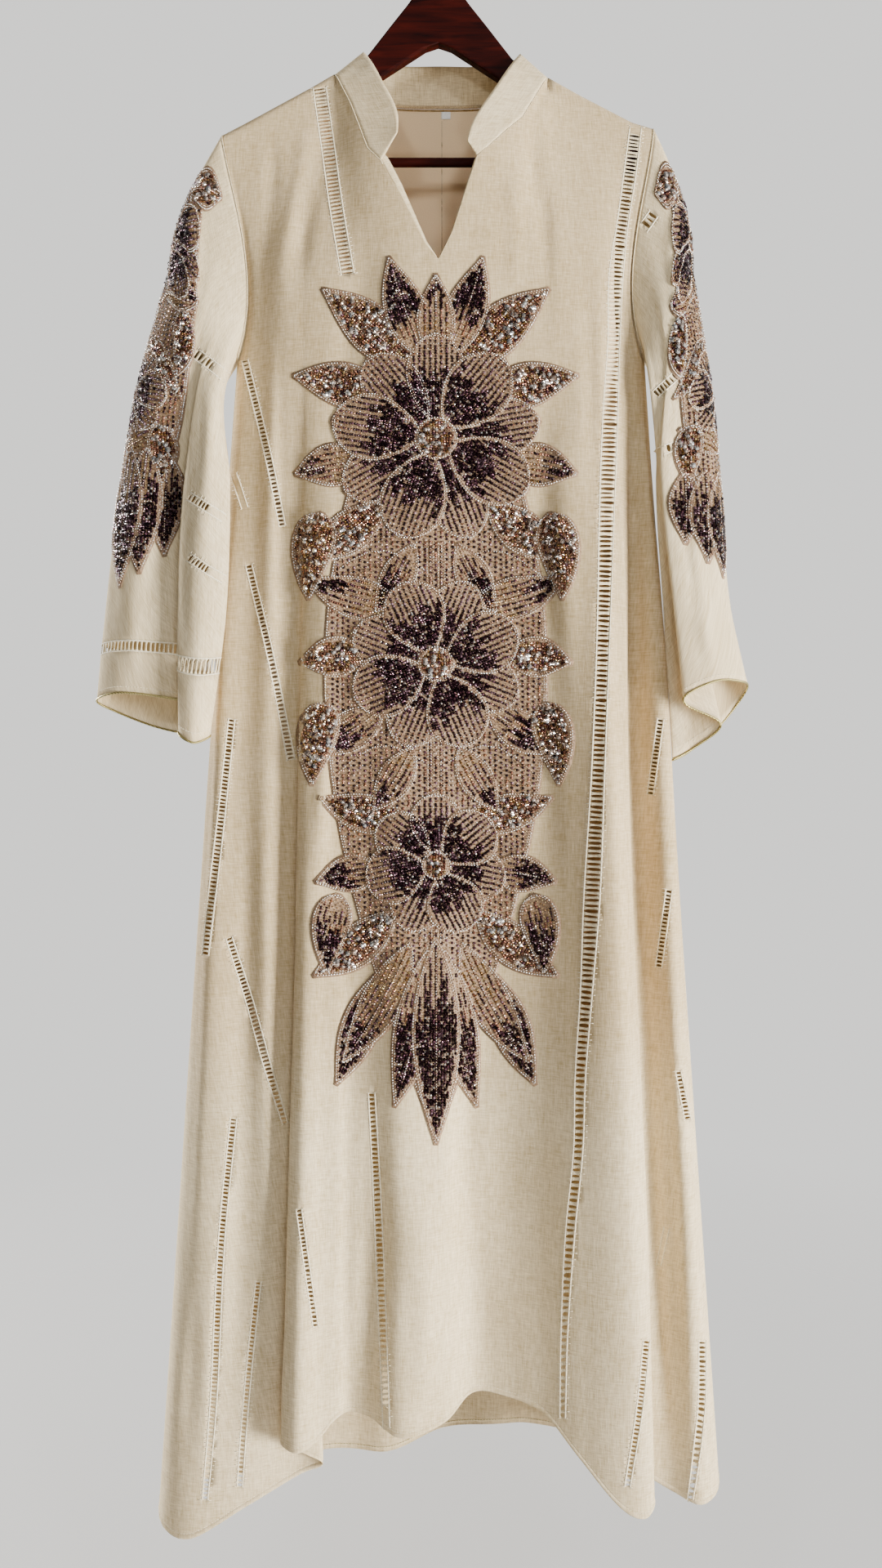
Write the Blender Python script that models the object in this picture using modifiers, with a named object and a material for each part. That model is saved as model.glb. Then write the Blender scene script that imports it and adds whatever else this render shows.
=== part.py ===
"""An abaya on a wooden hanger.

The garment hangs nearly flat. Front is -Y, the wearer's left is +X, up is +Z.
The origin is the inner top of the hook, where a rail holds it.
Lengths are in metres, the tables in millimetres.
"""
import math

import bpy
from mathutils import Vector

MM = 0.001
SMALL = 0.001 * MM

# Walls and gaps
CLOTH_WALL = 1.5 * MM
LINING_WALL = 1.0 * MM
COLLAR_WALL = 2.0 * MM
SEAM_GAP = 0.3 * MM
LABEL_WALL = 0.6 * MM

# Levels of the dress
CHEST_Z = -480 * MM
HIP_Z = -858 * MM
LINING_HEM_Z = -1240 * MM

# Neck and shoulders
NECK_DEPTH = 36 * MM
BACK_NECK_Z = -190 * MM
RIDGE_DEPTH = 10.5 * MM
RIDGE_DROP = 9 * MM
NECK_CROWDING = 1.5
NECK_CORNER_SHAPE = 4
LINING_INSET = 2.4 * MM
LINING_FIRST_ROW = 2
LINING_NECK_SHARE = 1.2
NECK_SLANT = 0.6
COLLAR_SLANT = 0.9
COLLAR_GAP = 0.6 * MM
NECK_RISE = 200 * MM
ARMHOLE_GAP = 0.6 * MM
CAP_BULGE = 10 * MM
ARMHOLE_CURVE = 16 * MM
ARMHOLE_REACH = 222 * MM
ARMHOLE_SIDE_POWER = 6
CURVE_TOP = 27 / 4
NECK_ROUNDING = 3

# Lining
LINING_SHOULDER = 200 * MM
LINING_SPREAD = 1.2
LINING_SIDE_Y = 8 * MM
LINING_CELLS = 5
LINING_FRONT_Y = -12 * MM
LINING_BACK_Y = 20 * MM
LINING_FLATNESS = 4

# Trim
PIPING_RADIUS = 1.2 * MM
PIPING_GAP = 1.0 * MM
PIPING_LOOK_UP = 0.05
LABEL_X = (3 * MM, 13 * MM)
LABEL_PARTS = (0.1, 0.9)

# Hanger
ARM_THICKNESS = 12 * MM
ARM_ROUNDING = 4 * MM
BAR_RADIUS = 4.8 * MM
BAR_Z = -266 * MM
BAR_SOCKET_X = 194 * MM
BAR_SIDES = 20
BAR_EDGE_ANGLE = 40
ARM_EDGE_ANGLE = 80
HOOK_WIRE_RADIUS = 1.9 * MM
HOOK_INNER_RADIUS = 18 * MM
HOOK_STEPS = 18
HOOK_ANGLES = (-40, 195)
HOOK_NECK = ((0, 12), (1, 24), (8, 34))
WOOD_TOP_Z = -78 * MM

# Shoulder line and front neckline, left to right: x, z
FRONT_TOP_EDGE = (
    (-230, -239), (-205, -226), (-135, -188), (-111, -174),
    (-92.5, -214), (-74, -265), (-60, -280), (-46, -306), (-15, -366), (0, -384), (14, -356), (40, -276),
    (52, -266), (88, -231), (117, -178),
    (149, -196), (205, -225), (228, -232),
)
NECK_POINT_LEFT = -111
NECK_POINT_RIGHT = 117

# One row for each fold line of the front, from side seam to side seam, in mm.
# top, chest, hip, hem: x at each level. y_...: depth there. z_hem: height of the hem. cells: grid cells on.
FRONT_FOLDS = (
    # name, top, chest, hip, hem, y_chest, y_hip, y_hem, z_hem, cells
    ("side seam", -230, -214, -243, -297, 0, 10, 2, -1690, 1),
    ("outer lobe side", -222, -206, -236, -288, -10, -4, -24, -1704, 2),
    ("outer lobe crest", -205, -191, -215, -256, -16, -13, -38, -1708, 2),
    ("outer lobe inner", -188, -176, -185, -201, -22, -17, -30, -1680, 2),
    ("outer lobe under", -172, -163, -160, -146, -26, -16, -15, -1654, 2),
    ("tuck turn", -160, -151, -149, -121, -28, -16, -22, -1640, 2),
    ("tuck return", -152, -142, -145, -140, -29, -20, -30, -1624, 2),
    ("front fold edge", -145, -136, -144, -162, -30, -27, -42, -1608, 2),
    ("front pipe crest", -135, -127, -134, -145, -31, -34, -58, -1609, 2),
    ("front pipe inner", -118, -113, -117, -124, -32, -37, -46, -1603, 1),
    ("valley left", -111, -101, -102, -104, -33, -36, -25, -1584, 4),
    ("rise left", -74, -73, -72, -74, -34, -37, -28, -1586, 2),
    ("crest left", -46, -43, -41, -39, -35, -40, -48, -1599, 3),
    ("centre", 0, 0, 2, 6, -35, -38, -34, -1590, 2),
    ("valley right", 28, 28, 32, 36, -35, -36, -12, -1570, 2),
    ("valley right end", 52, 54, 60, 68, -35, -36, -14, -1572, 2),
    ("rise right", 88, 90, 98, 108, -34, -38, -28, -1583, 3),
    ("right pipe start", 117, 123, 130, 142, -33, -41, -44, -1618, 2),
    ("right pipe crest", 160, 160, 165, 184, -29, -42, -58, -1663, 2),
    ("right pipe outer", 178, 178, 184, 210, -25, -40, -59, -1675, 2),
    ("right fold edge", 190, 188, 196, 222, -21, -33, -48, -1665, 2),
    ("right tuck return", 197, 193, 197, 209, -18, -27, -36, -1658, 2),
    ("right tuck turn", 202, 197, 198, 197, -16, -20, -24, -1650, 2),
    ("right tuck floor", 207, 201, 203, 214, -14, -13, -12, -1655, 2),
    ("right lobe rise", 213, 206, 213, 246, -13, -8, -14, -1672, 2),
    ("right lobe crest", 219, 210, 228, 272, -11, -9, -26, -1680, 2),
    ("right lobe side", 224, 215, 240, 292, -10, -2, -14, -1677, 1),
    ("side seam", 228, 219, 246, 299, 0, 12, 4, -1668, 0),
)

BACK_FOLDS = (
    # name, top, chest, hip, hem, y_chest, y_hip, y_hem, z_hem, cells
    ("side seam", -230, -214, -243, -297, 0, 10, 2, -1690, 2),
    ("side left", -222, -206, -234, -284, 10, 22, 24, -1688, 2),
    ("crest 1", -190, -180, -200, -238, 19, 30, 44, -1688, 2),
    ("valley 1", -150, -135, -150, -182, 26, 30, 28, -1672, 2),
    ("crest 2", -111, -100, -104, -120, 30, 38, 52, -1660, 3),
    ("valley 2", -52, -48, -50, -56, 32, 34, 36, -1658, 2),
    ("centre crest", 0, 0, 0, 4, 33, 41, 52, -1640, 2),
    ("valley 3", 54, 50, 54, 60, 32, 35, 36, -1628, 3),
    ("crest 3", 117, 107, 112, 124, 30, 39, 53, -1636, 2),
    ("valley 4", 150, 137, 154, 182, 26, 30, 30, -1650, 2),
    ("crest 4", 192, 184, 206, 244, 18, 31, 46, -1664, 2),
    ("side right", 221, 211, 238, 288, 10, 23, 26, -1668, 2),
    ("side seam", 228, 219, 246, 299, 0, 12, 4, -1668, 0),
)

# Rows of the grid: drops below the top edge, then shares of the way to each level
TOP_DROPS = (0, 1.5, 4, 9)
CHEST_SHARES = (0.22, 0.46, 0.7, 0.88, 0.96, 1.0)
HIP_CELLS = 4
HEM_CELLS = 8

# One row for each fold line round a sleeve, in mm, over the front and back under the inner edge.
# share: how far down the armhole it starts. x, y at three levels, then x, y, z at the cuff.
RIGHT_SLEEVE_FOLDS = (
    # name, share, x_up, y_up, x_elbow, y_elbow, x_fore, y_fore, x_cuff, y_cuff, z_cuff
    ("outer edge", 0.0, -287, 0, -337, 0, -355, 0, -364, 0, -838),
    ("front outer", 0.12, -272, -20, -316, -22, -334, -21, -338, -22, -831),
    ("front middle", 0.4, -250, -30, -286, -28, -297, -25, -298, -25, -834),
    ("tuck turn", 0.55, -243, -32, -260, -25, -251, -20, -248, -18, -844),
    ("tuck return", 0.65, -238, -33, -257, -29, -252, -28, -249, -27, -856),
    ("fold edge", 0.75, -233, -34, -262, -38, -270, -38, -269, -38, -872),
    ("fold crest", 0.88, -219, -30, -235, -46, -243, -47, -252, -46, -884),
    ("inner edge", 1.0, -225, -3, -217, -29, -221, -29, -238, -27, -876),
    ("back inner", 0.88, -239, 12, -241, -9, -246, -7, -262, -3, -874),
    ("back middle", 0.5, -248, 15, -282, 11, -294, 12, -304, 16, -865),
    ("back outer", 0.12, -270, 17, -314, 17, -332, 18, -344, 16, -850),
)
LEFT_SLEEVE_FOLDS = (
    # name, share, x_up, y_up, x_elbow, y_elbow, x_fore, y_fore, x_cuff, y_cuff, z_cuff
    ("outer edge", 0.0, 270, 0, 299, 0, 312, 0, 329, 0, -823),
    ("front outer", 0.12, 259, -18, 286, -24, 300, -26, 314, -26, -819),
    ("front middle", 0.4, 244, -28, 258, -36, 272, -42, 287, -43, -820),
    ("fold edge", 0.55, 234, -33, 232, -39, 245, -43, 256, -43, -834),
    ("fold return", 0.65, 230, -32, 231, -33, 247, -34, 258, -34, -845),
    ("tuck turn", 0.77, 221, -31, 234, -28, 267, -25, 295, -24, -864),
    ("inner lobe", 0.88, 216, -27, 231, -21, 252, -15, 270, -12, -888),
    ("inner edge", 1.0, 237, 0, 230, -11, 237, -13, 247, -11, -901),
    ("back inner", 0.88, 241, 13, 247, 4, 258, 4, 266, 4, -893),
    ("back middle", 0.5, 247, 14, 268, 13, 284, 14, 298, 15, -868),
    ("back outer", 0.12, 258, 15, 287, 14, 300, 15, 318, 14, -845),
)
# Level of each sleeve station at its outer and its inner edge, and the cells that follow it
SLEEVE_LEVELS = ((-385, -502), (-600, -612), (-745, -748))
SLEEVE_CELLS = (4, 4, 3, 3)
SLEEVE_CELLS_ROUND = 3

# One row for each station of the collar, from its left front corner round the back, in mm.
# base_x: where it meets the neckline. side: -1 on the front's neckline, 1 on the back's, 0 at the shoulder.
COLLAR_STATIONS = (
    # name, base_x, side, free edge x, y, z
    ("left corner", -60, -1, -43, -37.5, -253),
    ("left front", -74, -1, -42, -36, -240),
    ("left slope", -92.5, -1, -60, -24, -190),
    ("left ridge", -102, -1, -73, -12, -162),
    ("left shoulder", -111, 0, -80, 0, -148),
    ("left back ridge", -104, 1, -76, 12.5, -147),
    ("left back", -70, 1, -56, 27, -146),
    ("back", 3, 1, 3, 33, -145),
    ("right back", 74, 1, 60, 27, -147),
    ("right back ridge", 110, 1, 82, 12.5, -149),
    ("right shoulder", 117, 0, 87, 0, -150),
    ("right ridge", 107, -1, 79, -12, -165),
    ("right slope", 88, -1, 61, -25, -197),
    ("right front", 52, -1, 31, -37, -256),
    ("right corner", 40, -1, 30, -37.5, -262),
)
COLLAR_CELLS = 2
COLLAR_HEIGHT_CELLS = 3

# Outline of one hanger arm from the middle of the top round to the middle below, in mm
ARM_OUTLINE = (
    (0, -78), (14, -80), (23, -87), (34, -102), (50, -122), (78, -158), (100, -179), (114, -187), (214, -239),
    (220, -246), (221, -259), (217, -271), (207, -276), (194, -275), (194, -257), (66, -181), (12, -146),
    (0, -142),
)

OAT = (0.72, 0.62, 0.47, 1)
BEIGE = (0.62, 0.47, 0.35, 1)
WHITE = (0.85, 0.84, 0.82, 1)
GOLD_GREEN = (0.42, 0.35, 0.14, 1)
MAHOGANY = (0.05, 0.012, 0.008, 1)
STEEL = (0.6, 0.6, 0.6, 1)


# Small helpers

def clear_scene():
    for thing in list(bpy.data.objects):
        bpy.data.objects.remove(thing, do_unlink=True)


def material(name, colour, roughness, metallic=0.0):
    made = bpy.data.materials.new(name)
    made.use_nodes = True
    shader = made.node_tree.nodes["Principled BSDF"]
    shader.inputs["Base Color"].default_value = colour
    shader.inputs["Roughness"].default_value = roughness
    shader.inputs["Metallic"].default_value = metallic
    return made


def mix(a, b, share):
    return a + (b - a) * share


def smooth(share):
    share = min(max(share, 0.0), 1.0)
    return share * share * (3 - 2 * share)


def line_value(points, at):
    """The height of a broken line at one place."""
    for (x0, y0), (x1, y1) in zip(points, points[1:]):
        if at <= x1:
            return mix(y0, y1, max(at - x0, 0) / (x1 - x0))
    return points[-1][1]


def spline(values, at, before, after):
    """A Catmull-Rom curve through evenly spaced values, with one value added at each end."""
    i = min(int(at), len(values) - 2)
    t = at - i
    row = [before] + list(values) + [after]
    a, b, c, d = row[i:i + 4]
    return 0.5 * (2 * b + (c - a) * t + (2 * a - 5 * b + 4 * c - d) * t ** 2 + (3 * b - a - 3 * c + d) * t ** 3)


def ring_spline(values, at):
    """The same curve round a closed row of values."""
    n = len(values)
    i = int(at) % n
    return spline([values[i], values[(i + 1) % n]], at - int(at), values[i - 1], values[(i + 2) % n])


def through(stations, at):
    """A smooth curve through unevenly spaced points, by chord length."""
    i = min(int(at), len(stations) - 2)
    t = at - i
    chords = [max((b - a).length, SMALL) for a, b in zip(stations, stations[1:])]
    slopes = [(b - a) / c for a, b, c in zip(stations, stations[1:], chords)]

    def tangent(k):
        if k == 0:
            return slopes[0]
        if k == len(slopes):
            return slopes[-1]
        return (slopes[k - 1] * chords[k] + slopes[k] * chords[k - 1]) / (chords[k - 1] + chords[k])

    h = chords[i]
    return (stations[i] * (2 * t ** 3 - 3 * t ** 2 + 1) + tangent(i) * h * (t ** 3 - 2 * t ** 2 + t)
            + stations[i + 1] * (3 * t ** 2 - 2 * t ** 3) + tangent(i + 1) * h * (t ** 3 - t ** 2))


def add_mesh(collection, name, points, faces, look):
    mesh = bpy.data.meshes.new(name)
    mesh.from_pydata([tuple(p) for p in points], [], faces)
    mesh.materials.append(look)
    mesh.shade_smooth()
    made = bpy.data.objects.new(name, mesh)
    collection.objects.link(made)
    return made


def facing(grid, i, j, closed, corners):
    """The direction across a cloth grid at one point. At a corner column only one side is looked at."""
    n = len(grid)
    m = len(grid[0])
    before = i if corners.get(i) == 1 else i - 1
    after = i if corners.get(i) == -1 else i + 1
    if closed:
        along = grid[after % n][j] - grid[before][j]
    else:
        along = grid[min(after, n - 1)][j] - grid[max(before, 0)][j]
    down = grid[i][min(j + 1, m - 1)] - grid[i][max(j - 1, 0)]
    return along.cross(down).normalized()


def straight(grid, i, j, out):
    return out


def inner_skin(grid, wall, flip=1, closed=False, turn=straight, corners={}):
    """The grid moved in by one wall; turn changes the direction at chosen points."""
    skin = []
    for i, row in enumerate(grid):
        outs = [turn(grid, i, j, facing(grid, i, j, closed, corners) * flip) for j in range(len(row))]
        skin.append([p - out * wall for p, out in zip(row, outs)])
    return skin


def cloth_wall(collection, name, grid, wall, look, flip=1, closed=False, turn=straight, corners={}):
    """A closed wall: the outer skin is the grid, the inner skin lies one wall inside it."""
    n = len(grid)
    m = len(grid[0])
    inner = inner_skin(grid, wall, flip, closed, turn, corners)
    points = [p for row in grid + inner for p in row]
    shift = n * m
    columns = n if closed else n - 1
    faces = []

    def quad(a, b, c, d):
        """Both skins are cut along the same diagonal."""
        faces.extend(((a, b, c), (a, c, d)) if flip > 0 else ((c, b, a), (d, c, a)))

    def at(i, j):
        return (i % n) * m + j

    for i in range(columns):
        for j in range(m - 1):
            quad(at(i, j), at(i + 1, j), at(i + 1, j + 1), at(i, j + 1))
            quad(shift + at(i, j), shift + at(i, j + 1), shift + at(i + 1, j + 1), shift + at(i + 1, j))
        quad(at(i, 0), shift + at(i, 0), shift + at(i + 1, 0), at(i + 1, 0))
        quad(at(i + 1, m - 1), shift + at(i + 1, m - 1), shift + at(i, m - 1), at(i, m - 1))
    if not closed:
        for j in range(m - 1):
            quad(at(0, j), at(0, j + 1), shift + at(0, j + 1), shift + at(0, j))
            quad(at(n - 1, j + 1), at(n - 1, j), shift + at(n - 1, j), shift + at(n - 1, j + 1))
    return add_mesh(collection, name, points, faces, look)


# The dress

def front_top_z(x):
    return line_value(FRONT_TOP_EDGE, x / MM) * MM


def back_top_z(x):
    if NECK_POINT_LEFT * MM < x < NECK_POINT_RIGHT * MM:
        end = front_top_z((NECK_POINT_LEFT if x < 0 else NECK_POINT_RIGHT) * MM)
        return mix(BACK_NECK_Z, end, neck_share(x) ** NECK_CORNER_SHAPE)
    return front_top_z(x)


def neck_share(x):
    """0 at the middle of the neck, 1 at its side, where the collar crosses the shoulder seam."""
    return x / ((NECK_POINT_LEFT if x < 0 else NECK_POINT_RIGHT) * MM)


def over_arm(drop):
    """0 on top of the hanger's arm, 1 where the cloth hangs clear beside it."""
    return math.sqrt(max(1 - (1 - min(drop / RIDGE_DROP, 1)) ** 2, 0))


def neck_y(x, depth):
    """Depth of the neckline: it goes round the hanger's arm, then to the front or the back."""
    inside = max(1 - neck_share(x), 0)
    ridge = math.copysign(RIDGE_DEPTH, depth)
    return ridge * over_arm(inside * NECK_RISE) + (depth - ridge) * (1 - (1 - inside) ** NECK_ROUNDING)


def hang_y(x_top, y_chest, depth, drop, share):
    """Depth between the top edge and the chest: over the hanger's arm, then down to the chest."""
    y_top = neck_y(x_top, depth)
    y_ridge = y_top + (math.copysign(RIDGE_DEPTH, depth) * over_arm(drop) if neck_share(x_top) >= 1 else 0)
    return mix(y_ridge, y_chest, smooth(share))


def column(table, field, at, before=None, after=None):
    """One field of a fold table at a place between its rows."""
    values = [row[field] for row in table]
    first = 2 * values[0] - values[1] if before is None else before
    last = 2 * values[-1] - values[-2] if after is None else after
    return spline(values, at, first, last) * MM


def level_curve(chest, hip, hem, z_hem, z):
    """A value below the chest, smooth through the hip."""
    upper = (hip - chest) / (CHEST_Z - HIP_Z)
    lower = (hem - hip) / (HIP_Z - z_hem)
    middle = (upper + lower) / 2
    if z > HIP_Z:
        t = (CHEST_Z - z) / (CHEST_Z - HIP_Z)
        start, end, first, last, h = chest, hip, upper, middle, CHEST_Z - HIP_Z
    else:
        t = (HIP_Z - z) / (HIP_Z - z_hem)
        start, end, first, last, h = hip, hem, middle, lower, HIP_Z - z_hem
    return (start * (2 * t ** 3 - 3 * t ** 2 + 1) + first * h * (t ** 3 - 2 * t ** 2 + t)
            + end * (3 * t ** 2 - 2 * t ** 3) + last * h * (t ** 3 - t ** 2))


def top_x(table, at):
    """Where a column starts: the columns crowd towards the neck's sides."""
    i = min(int(at), len(table) - 2)
    share = at - i
    left, right = table[i][1], table[i + 1][1]
    if left == NECK_POINT_LEFT:
        share = share ** NECK_CROWDING
    if right == NECK_POINT_RIGHT:
        share = 1 - (1 - share) ** NECK_CROWDING
    return mix(left, right, share) * MM


def panel_column(table, at):
    """Everything that one column of a panel needs."""
    back = table is BACK_FOLDS
    x_top = top_x(table, at)
    xs = [column(table, k, at, table[1][k], table[-2][k]) for k in (2, 3, 4)]
    ys = [column(table, k, at) for k in (5, 6, 7)]
    z_top = back_top_z(x_top) if back else front_top_z(x_top)
    return {"x_top": x_top, "z_top": z_top, "x": xs, "y": ys,
            "z_hem": column(table, 8, at), "depth": NECK_DEPTH if back else -NECK_DEPTH,
            "edge": at in (0, len(table) - 1)}


def armhole_curve(x, share):
    """How far the armhole cuts in, most at two thirds of the way down and only at a panel's sides."""
    cut = ARMHOLE_CURVE * share ** 2 * (1 - share) * CURVE_TOP
    return math.copysign(cut * (abs(x) / ARMHOLE_REACH) ** ARMHOLE_SIDE_POWER, x)


def panel_point(col, z):
    drop = col["z_top"] - z
    if z >= CHEST_Z:
        share = drop / (col["z_top"] - CHEST_Z)
        x = mix(col["x_top"], col["x"][0], 1 - (1 - share) ** 2)
        x -= armhole_curve(x, share)
        y = hang_y(col["x_top"], col["y"][0], col["depth"], drop, share)
        if col["edge"]:
            y = math.copysign(RIDGE_DEPTH, col["depth"]) * over_arm(min(drop, z - CHEST_Z))
    else:
        x = level_curve(*col["x"], col["z_hem"], z)
        y = level_curve(*col["y"], col["z_hem"], z)
    return Vector((x, y, z))


def column_heights(z_top, z_hem):
    """Heights of the rows of one column: close together over the hanger, then even."""
    zs = [z_top - drop * MM for drop in TOP_DROPS]
    start = zs[-1]
    zs += [mix(start, CHEST_Z, share) for share in CHEST_SHARES]
    zs += [mix(CHEST_Z, HIP_Z, k / HIP_CELLS) for k in range(1, HIP_CELLS + 1)]
    zs += [mix(HIP_Z, z_hem, k / HEM_CELLS) for k in range(1, HEM_CELLS + 1)]
    return zs


def panel_places(table):
    places = []
    for i, row in enumerate(table[:-1]):
        places += [i + k / row[-1] for k in range(row[-1])]
    return places + [len(table) - 1]


def panel_grid(table):
    gap = math.copysign(SEAM_GAP / 2, 1 if table is BACK_FOLDS else -1)
    grid = []
    for at in panel_places(table):
        col = panel_column(table, at)
        points = [panel_point(col, z) for z in column_heights(col["z_top"], col["z_hem"])]
        grid.append([p + Vector((0, gap, 0)) for p in points])
    return grid


def panel_turn(grid, i, j, out):
    """A wall goes straight in from a seam; at the neckline its inner edge lies a little lower."""
    place = grid[i][j]
    at_side = i in (0, len(grid) - 1)
    if j == 0 and neck_share(place.x) < 1:
        return out + (place - grid[i][1]).normalized() * NECK_SLANT
    if at_side and j == 0:
        return Vector((0, 0, 1))
    if at_side and place.z > CHEST_Z + MM:
        return Vector((0, out.y, out.z)).normalized()
    if at_side or j == 0:
        return Vector((out.x, 0, out.z)).normalized()
    return out


def neck_corners(table):
    """The columns that start at the neck's sides, each looking away from the neck."""
    found = {}
    for i, at in enumerate(panel_places(table)):
        x = round(top_x(table, at) / MM)
        if at == int(at) and x in (NECK_POINT_LEFT, NECK_POINT_RIGHT):
            found[i] = -1 if x < 0 else 1
    return found


def armhole_line(table, side):
    """A panel's armhole edge as it is built, from the shoulder tip to the underarm."""
    col = panel_column(table, 0 if side < 0 else len(table) - 1)
    heights = column_heights(col["z_top"], col["z_hem"])
    return [panel_point(col, z) for z in heights[:len(TOP_DROPS) + len(CHEST_SHARES) - 1]]


def armhole_point(table, side, share):
    """A point of the armhole edge, share of the way down."""
    line = armhole_line(table, side)
    z = mix(line[0].z, line[-1].z, share)
    for upper, lower in zip(line, line[1:]):
        if z >= lower.z:
            return mix(upper, lower, (upper.z - z) / (upper.z - lower.z))
    return line[-1]


# Sleeves

def sleeve_point(table, side, at, along):
    """A sleeve's surface: at goes round its fold lines, along goes from the armhole to the cuff."""
    n = len(table)
    share = ring_line([row[1] for row in table], at)
    inner_edge = next(k for k, row in enumerate(table) if row[0] == "inner edge")
    start = armhole_point(FRONT_FOLDS if at % n < inner_edge else BACK_FOLDS, side, share)
    start.x += side * ARMHOLE_GAP
    stations = [start]
    for level, (z_outer, z_inner) in enumerate(SLEEVE_LEVELS):
        x = ring_spline([row[2 + 2 * level] for row in table], at % n)
        y = ring_spline([row[3 + 2 * level] for row in table], at % n)
        stations.append(Vector((x, y, mix(z_outer, z_inner, share))) * MM)
    cuff = [ring_spline([row[k] for row in table], at % n) for k in (8, 9, 10)]
    stations.append(Vector(cuff) * MM)
    point = through(stations, along)
    if along < 1:
        point.x += side * CAP_BULGE * math.sin(math.pi * along) * (1 - share)
    return point


def sleeve_turn(grid, i, j, out):
    """The armhole's edge of a sleeve is square to the panels."""
    return Vector((0, out.y, out.z)).normalized() if j == 0 else out


def ring_line(values, at):
    i = int(at) % len(values)
    return mix(values[i], values[(i + 1) % len(values)], at - int(at))


def sleeve_places():
    places = []
    for level, cells in enumerate(SLEEVE_CELLS):
        places += [level + k / cells for k in range(cells)]
    return places + [len(SLEEVE_CELLS)]


def sleeve_grid(table, side):
    cells = len(table) * SLEEVE_CELLS_ROUND
    return [[sleeve_point(table, side, i / SLEEVE_CELLS_ROUND, along) for along in sleeve_places()]
            for i in range(cells)]


def add_piping(collection, name, table, side, look):
    """A gold cord along the cuff's edge."""
    count = len(table) * SLEEVE_CELLS_ROUND
    end = len(SLEEVE_CELLS)
    rim = [sleeve_point(table, side, k / SLEEVE_CELLS_ROUND, end) for k in range(count)]
    above = [sleeve_point(table, side, k / SLEEVE_CELLS_ROUND, end - PIPING_LOOK_UP) for k in range(count)]
    curve = bpy.data.curves.new(name, "CURVE")
    curve.dimensions = "3D"
    curve.bevel_depth = PIPING_RADIUS
    curve.bevel_resolution = 0
    path = curve.splines.new("POLY")
    path.points.add(count - 1)
    path.use_cyclic_u = True
    for k in range(count):
        along = (rim[(k + 1) % count] - rim[k - 1]).normalized()
        down = (rim[k] - above[k]).normalized()
        down = (down - along * down.dot(along)).normalized()
        path.points[k].co = (*(rim[k] + down * (PIPING_RADIUS + PIPING_GAP)), 1)
    curve.materials.append(look)
    collection.objects.link(bpy.data.objects.new(name, curve))


# Collar

def neckline(x, side):
    depth = NECK_DEPTH * (1 if side > 0 else -1)
    return Vector((x, neck_y(x, depth), back_top_z(x) if side > 0 else front_top_z(x)))


def collar_grid():
    tops = [Vector(station[3:]) * MM for station in COLLAR_STATIONS]
    grid = []
    for k in range((len(tops) - 1) * COLLAR_CELLS + 1):
        at = k / COLLAR_CELLS
        i = min(int(at), len(tops) - 2)
        x = mix(COLLAR_STATIONS[i][1], COLLAR_STATIONS[i + 1][1], at - i) * MM
        base = neckline(x, COLLAR_STATIONS[i][2] + COLLAR_STATIONS[i + 1][2])
        top = through(tops, at)
        base = base + (top - base).normalized() * COLLAR_GAP
        grid.append([mix(top, base, j / COLLAR_HEIGHT_CELLS) for j in range(COLLAR_HEIGHT_CELLS + 1)])
    return grid


def collar_turn(grid, i, j, out):
    """The inner edge of the collar's base lies higher than its outer edge."""
    if j == COLLAR_HEIGHT_CELLS:
        return out - (grid[i][0] - grid[i][1]).normalized() * COLLAR_SLANT
    return out


# Lining

def lining_grid(table, back):
    """It is made from the panel's points, moved in, down to the chest; then it hangs flatter than the panel."""
    panel = panel_grid(table)
    places = panel_places(table)
    inset = inner_skin(panel, LINING_INSET, 1 if back else -1, corners=neck_corners(table))
    first = LINING_FIRST_ROW
    chest = len(TOP_DROPS) + len(CHEST_SHARES) - 1
    kept = []
    for i, at in enumerate(places):
        x = panel[i][0].x
        if abs(x) < LINING_SHOULDER and (neck_share(x) <= LINING_NECK_SHARE or at == int(at)):
            kept.append(i)
    width = max(abs(inset[i][chest].x) for i in kept)
    shift = (LINING_WALL + SEAM_GAP) * (1 if back else -1)
    grid = []
    for i in kept:
        points = inset[i][first:chest + 1]
        start = points[-1]
        edge = abs(start.x / width)
        flat_y = mix(LINING_SIDE_Y + shift, LINING_BACK_Y if back else LINING_FRONT_Y, 1 - edge ** LINING_FLATNESS)
        for k in range(1, LINING_CELLS + 1):
            share = k / LINING_CELLS
            y = mix(start.y, flat_y, 1 - (1 - share) ** LINING_FLATNESS)
            z = mix(start.z, LINING_HEM_Z, share)
            points.append(Vector((start.x * mix(1, LINING_SPREAD, share), y, z)))
        grid.append(points)
    return grid


def label_grid(lining):
    """A small plate on the inner face of the back lining."""
    face = inner_skin(lining, LINING_WALL + SEAM_GAP)
    columns = sorted(face, key=lambda column: column[0].x)
    grid = []
    for x in LABEL_X:
        right = next(k for k, column in enumerate(columns) if column[0].x > x)
        a, b = columns[right - 1], columns[right]
        share = (x - a[0].x) / (b[0].x - a[0].x)
        line = [mix(p, q, share) for p, q in zip(a, b)]
        grid.append([mix(line[0], line[1], part) for part in LABEL_PARTS])
    return grid


# Hanger

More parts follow.
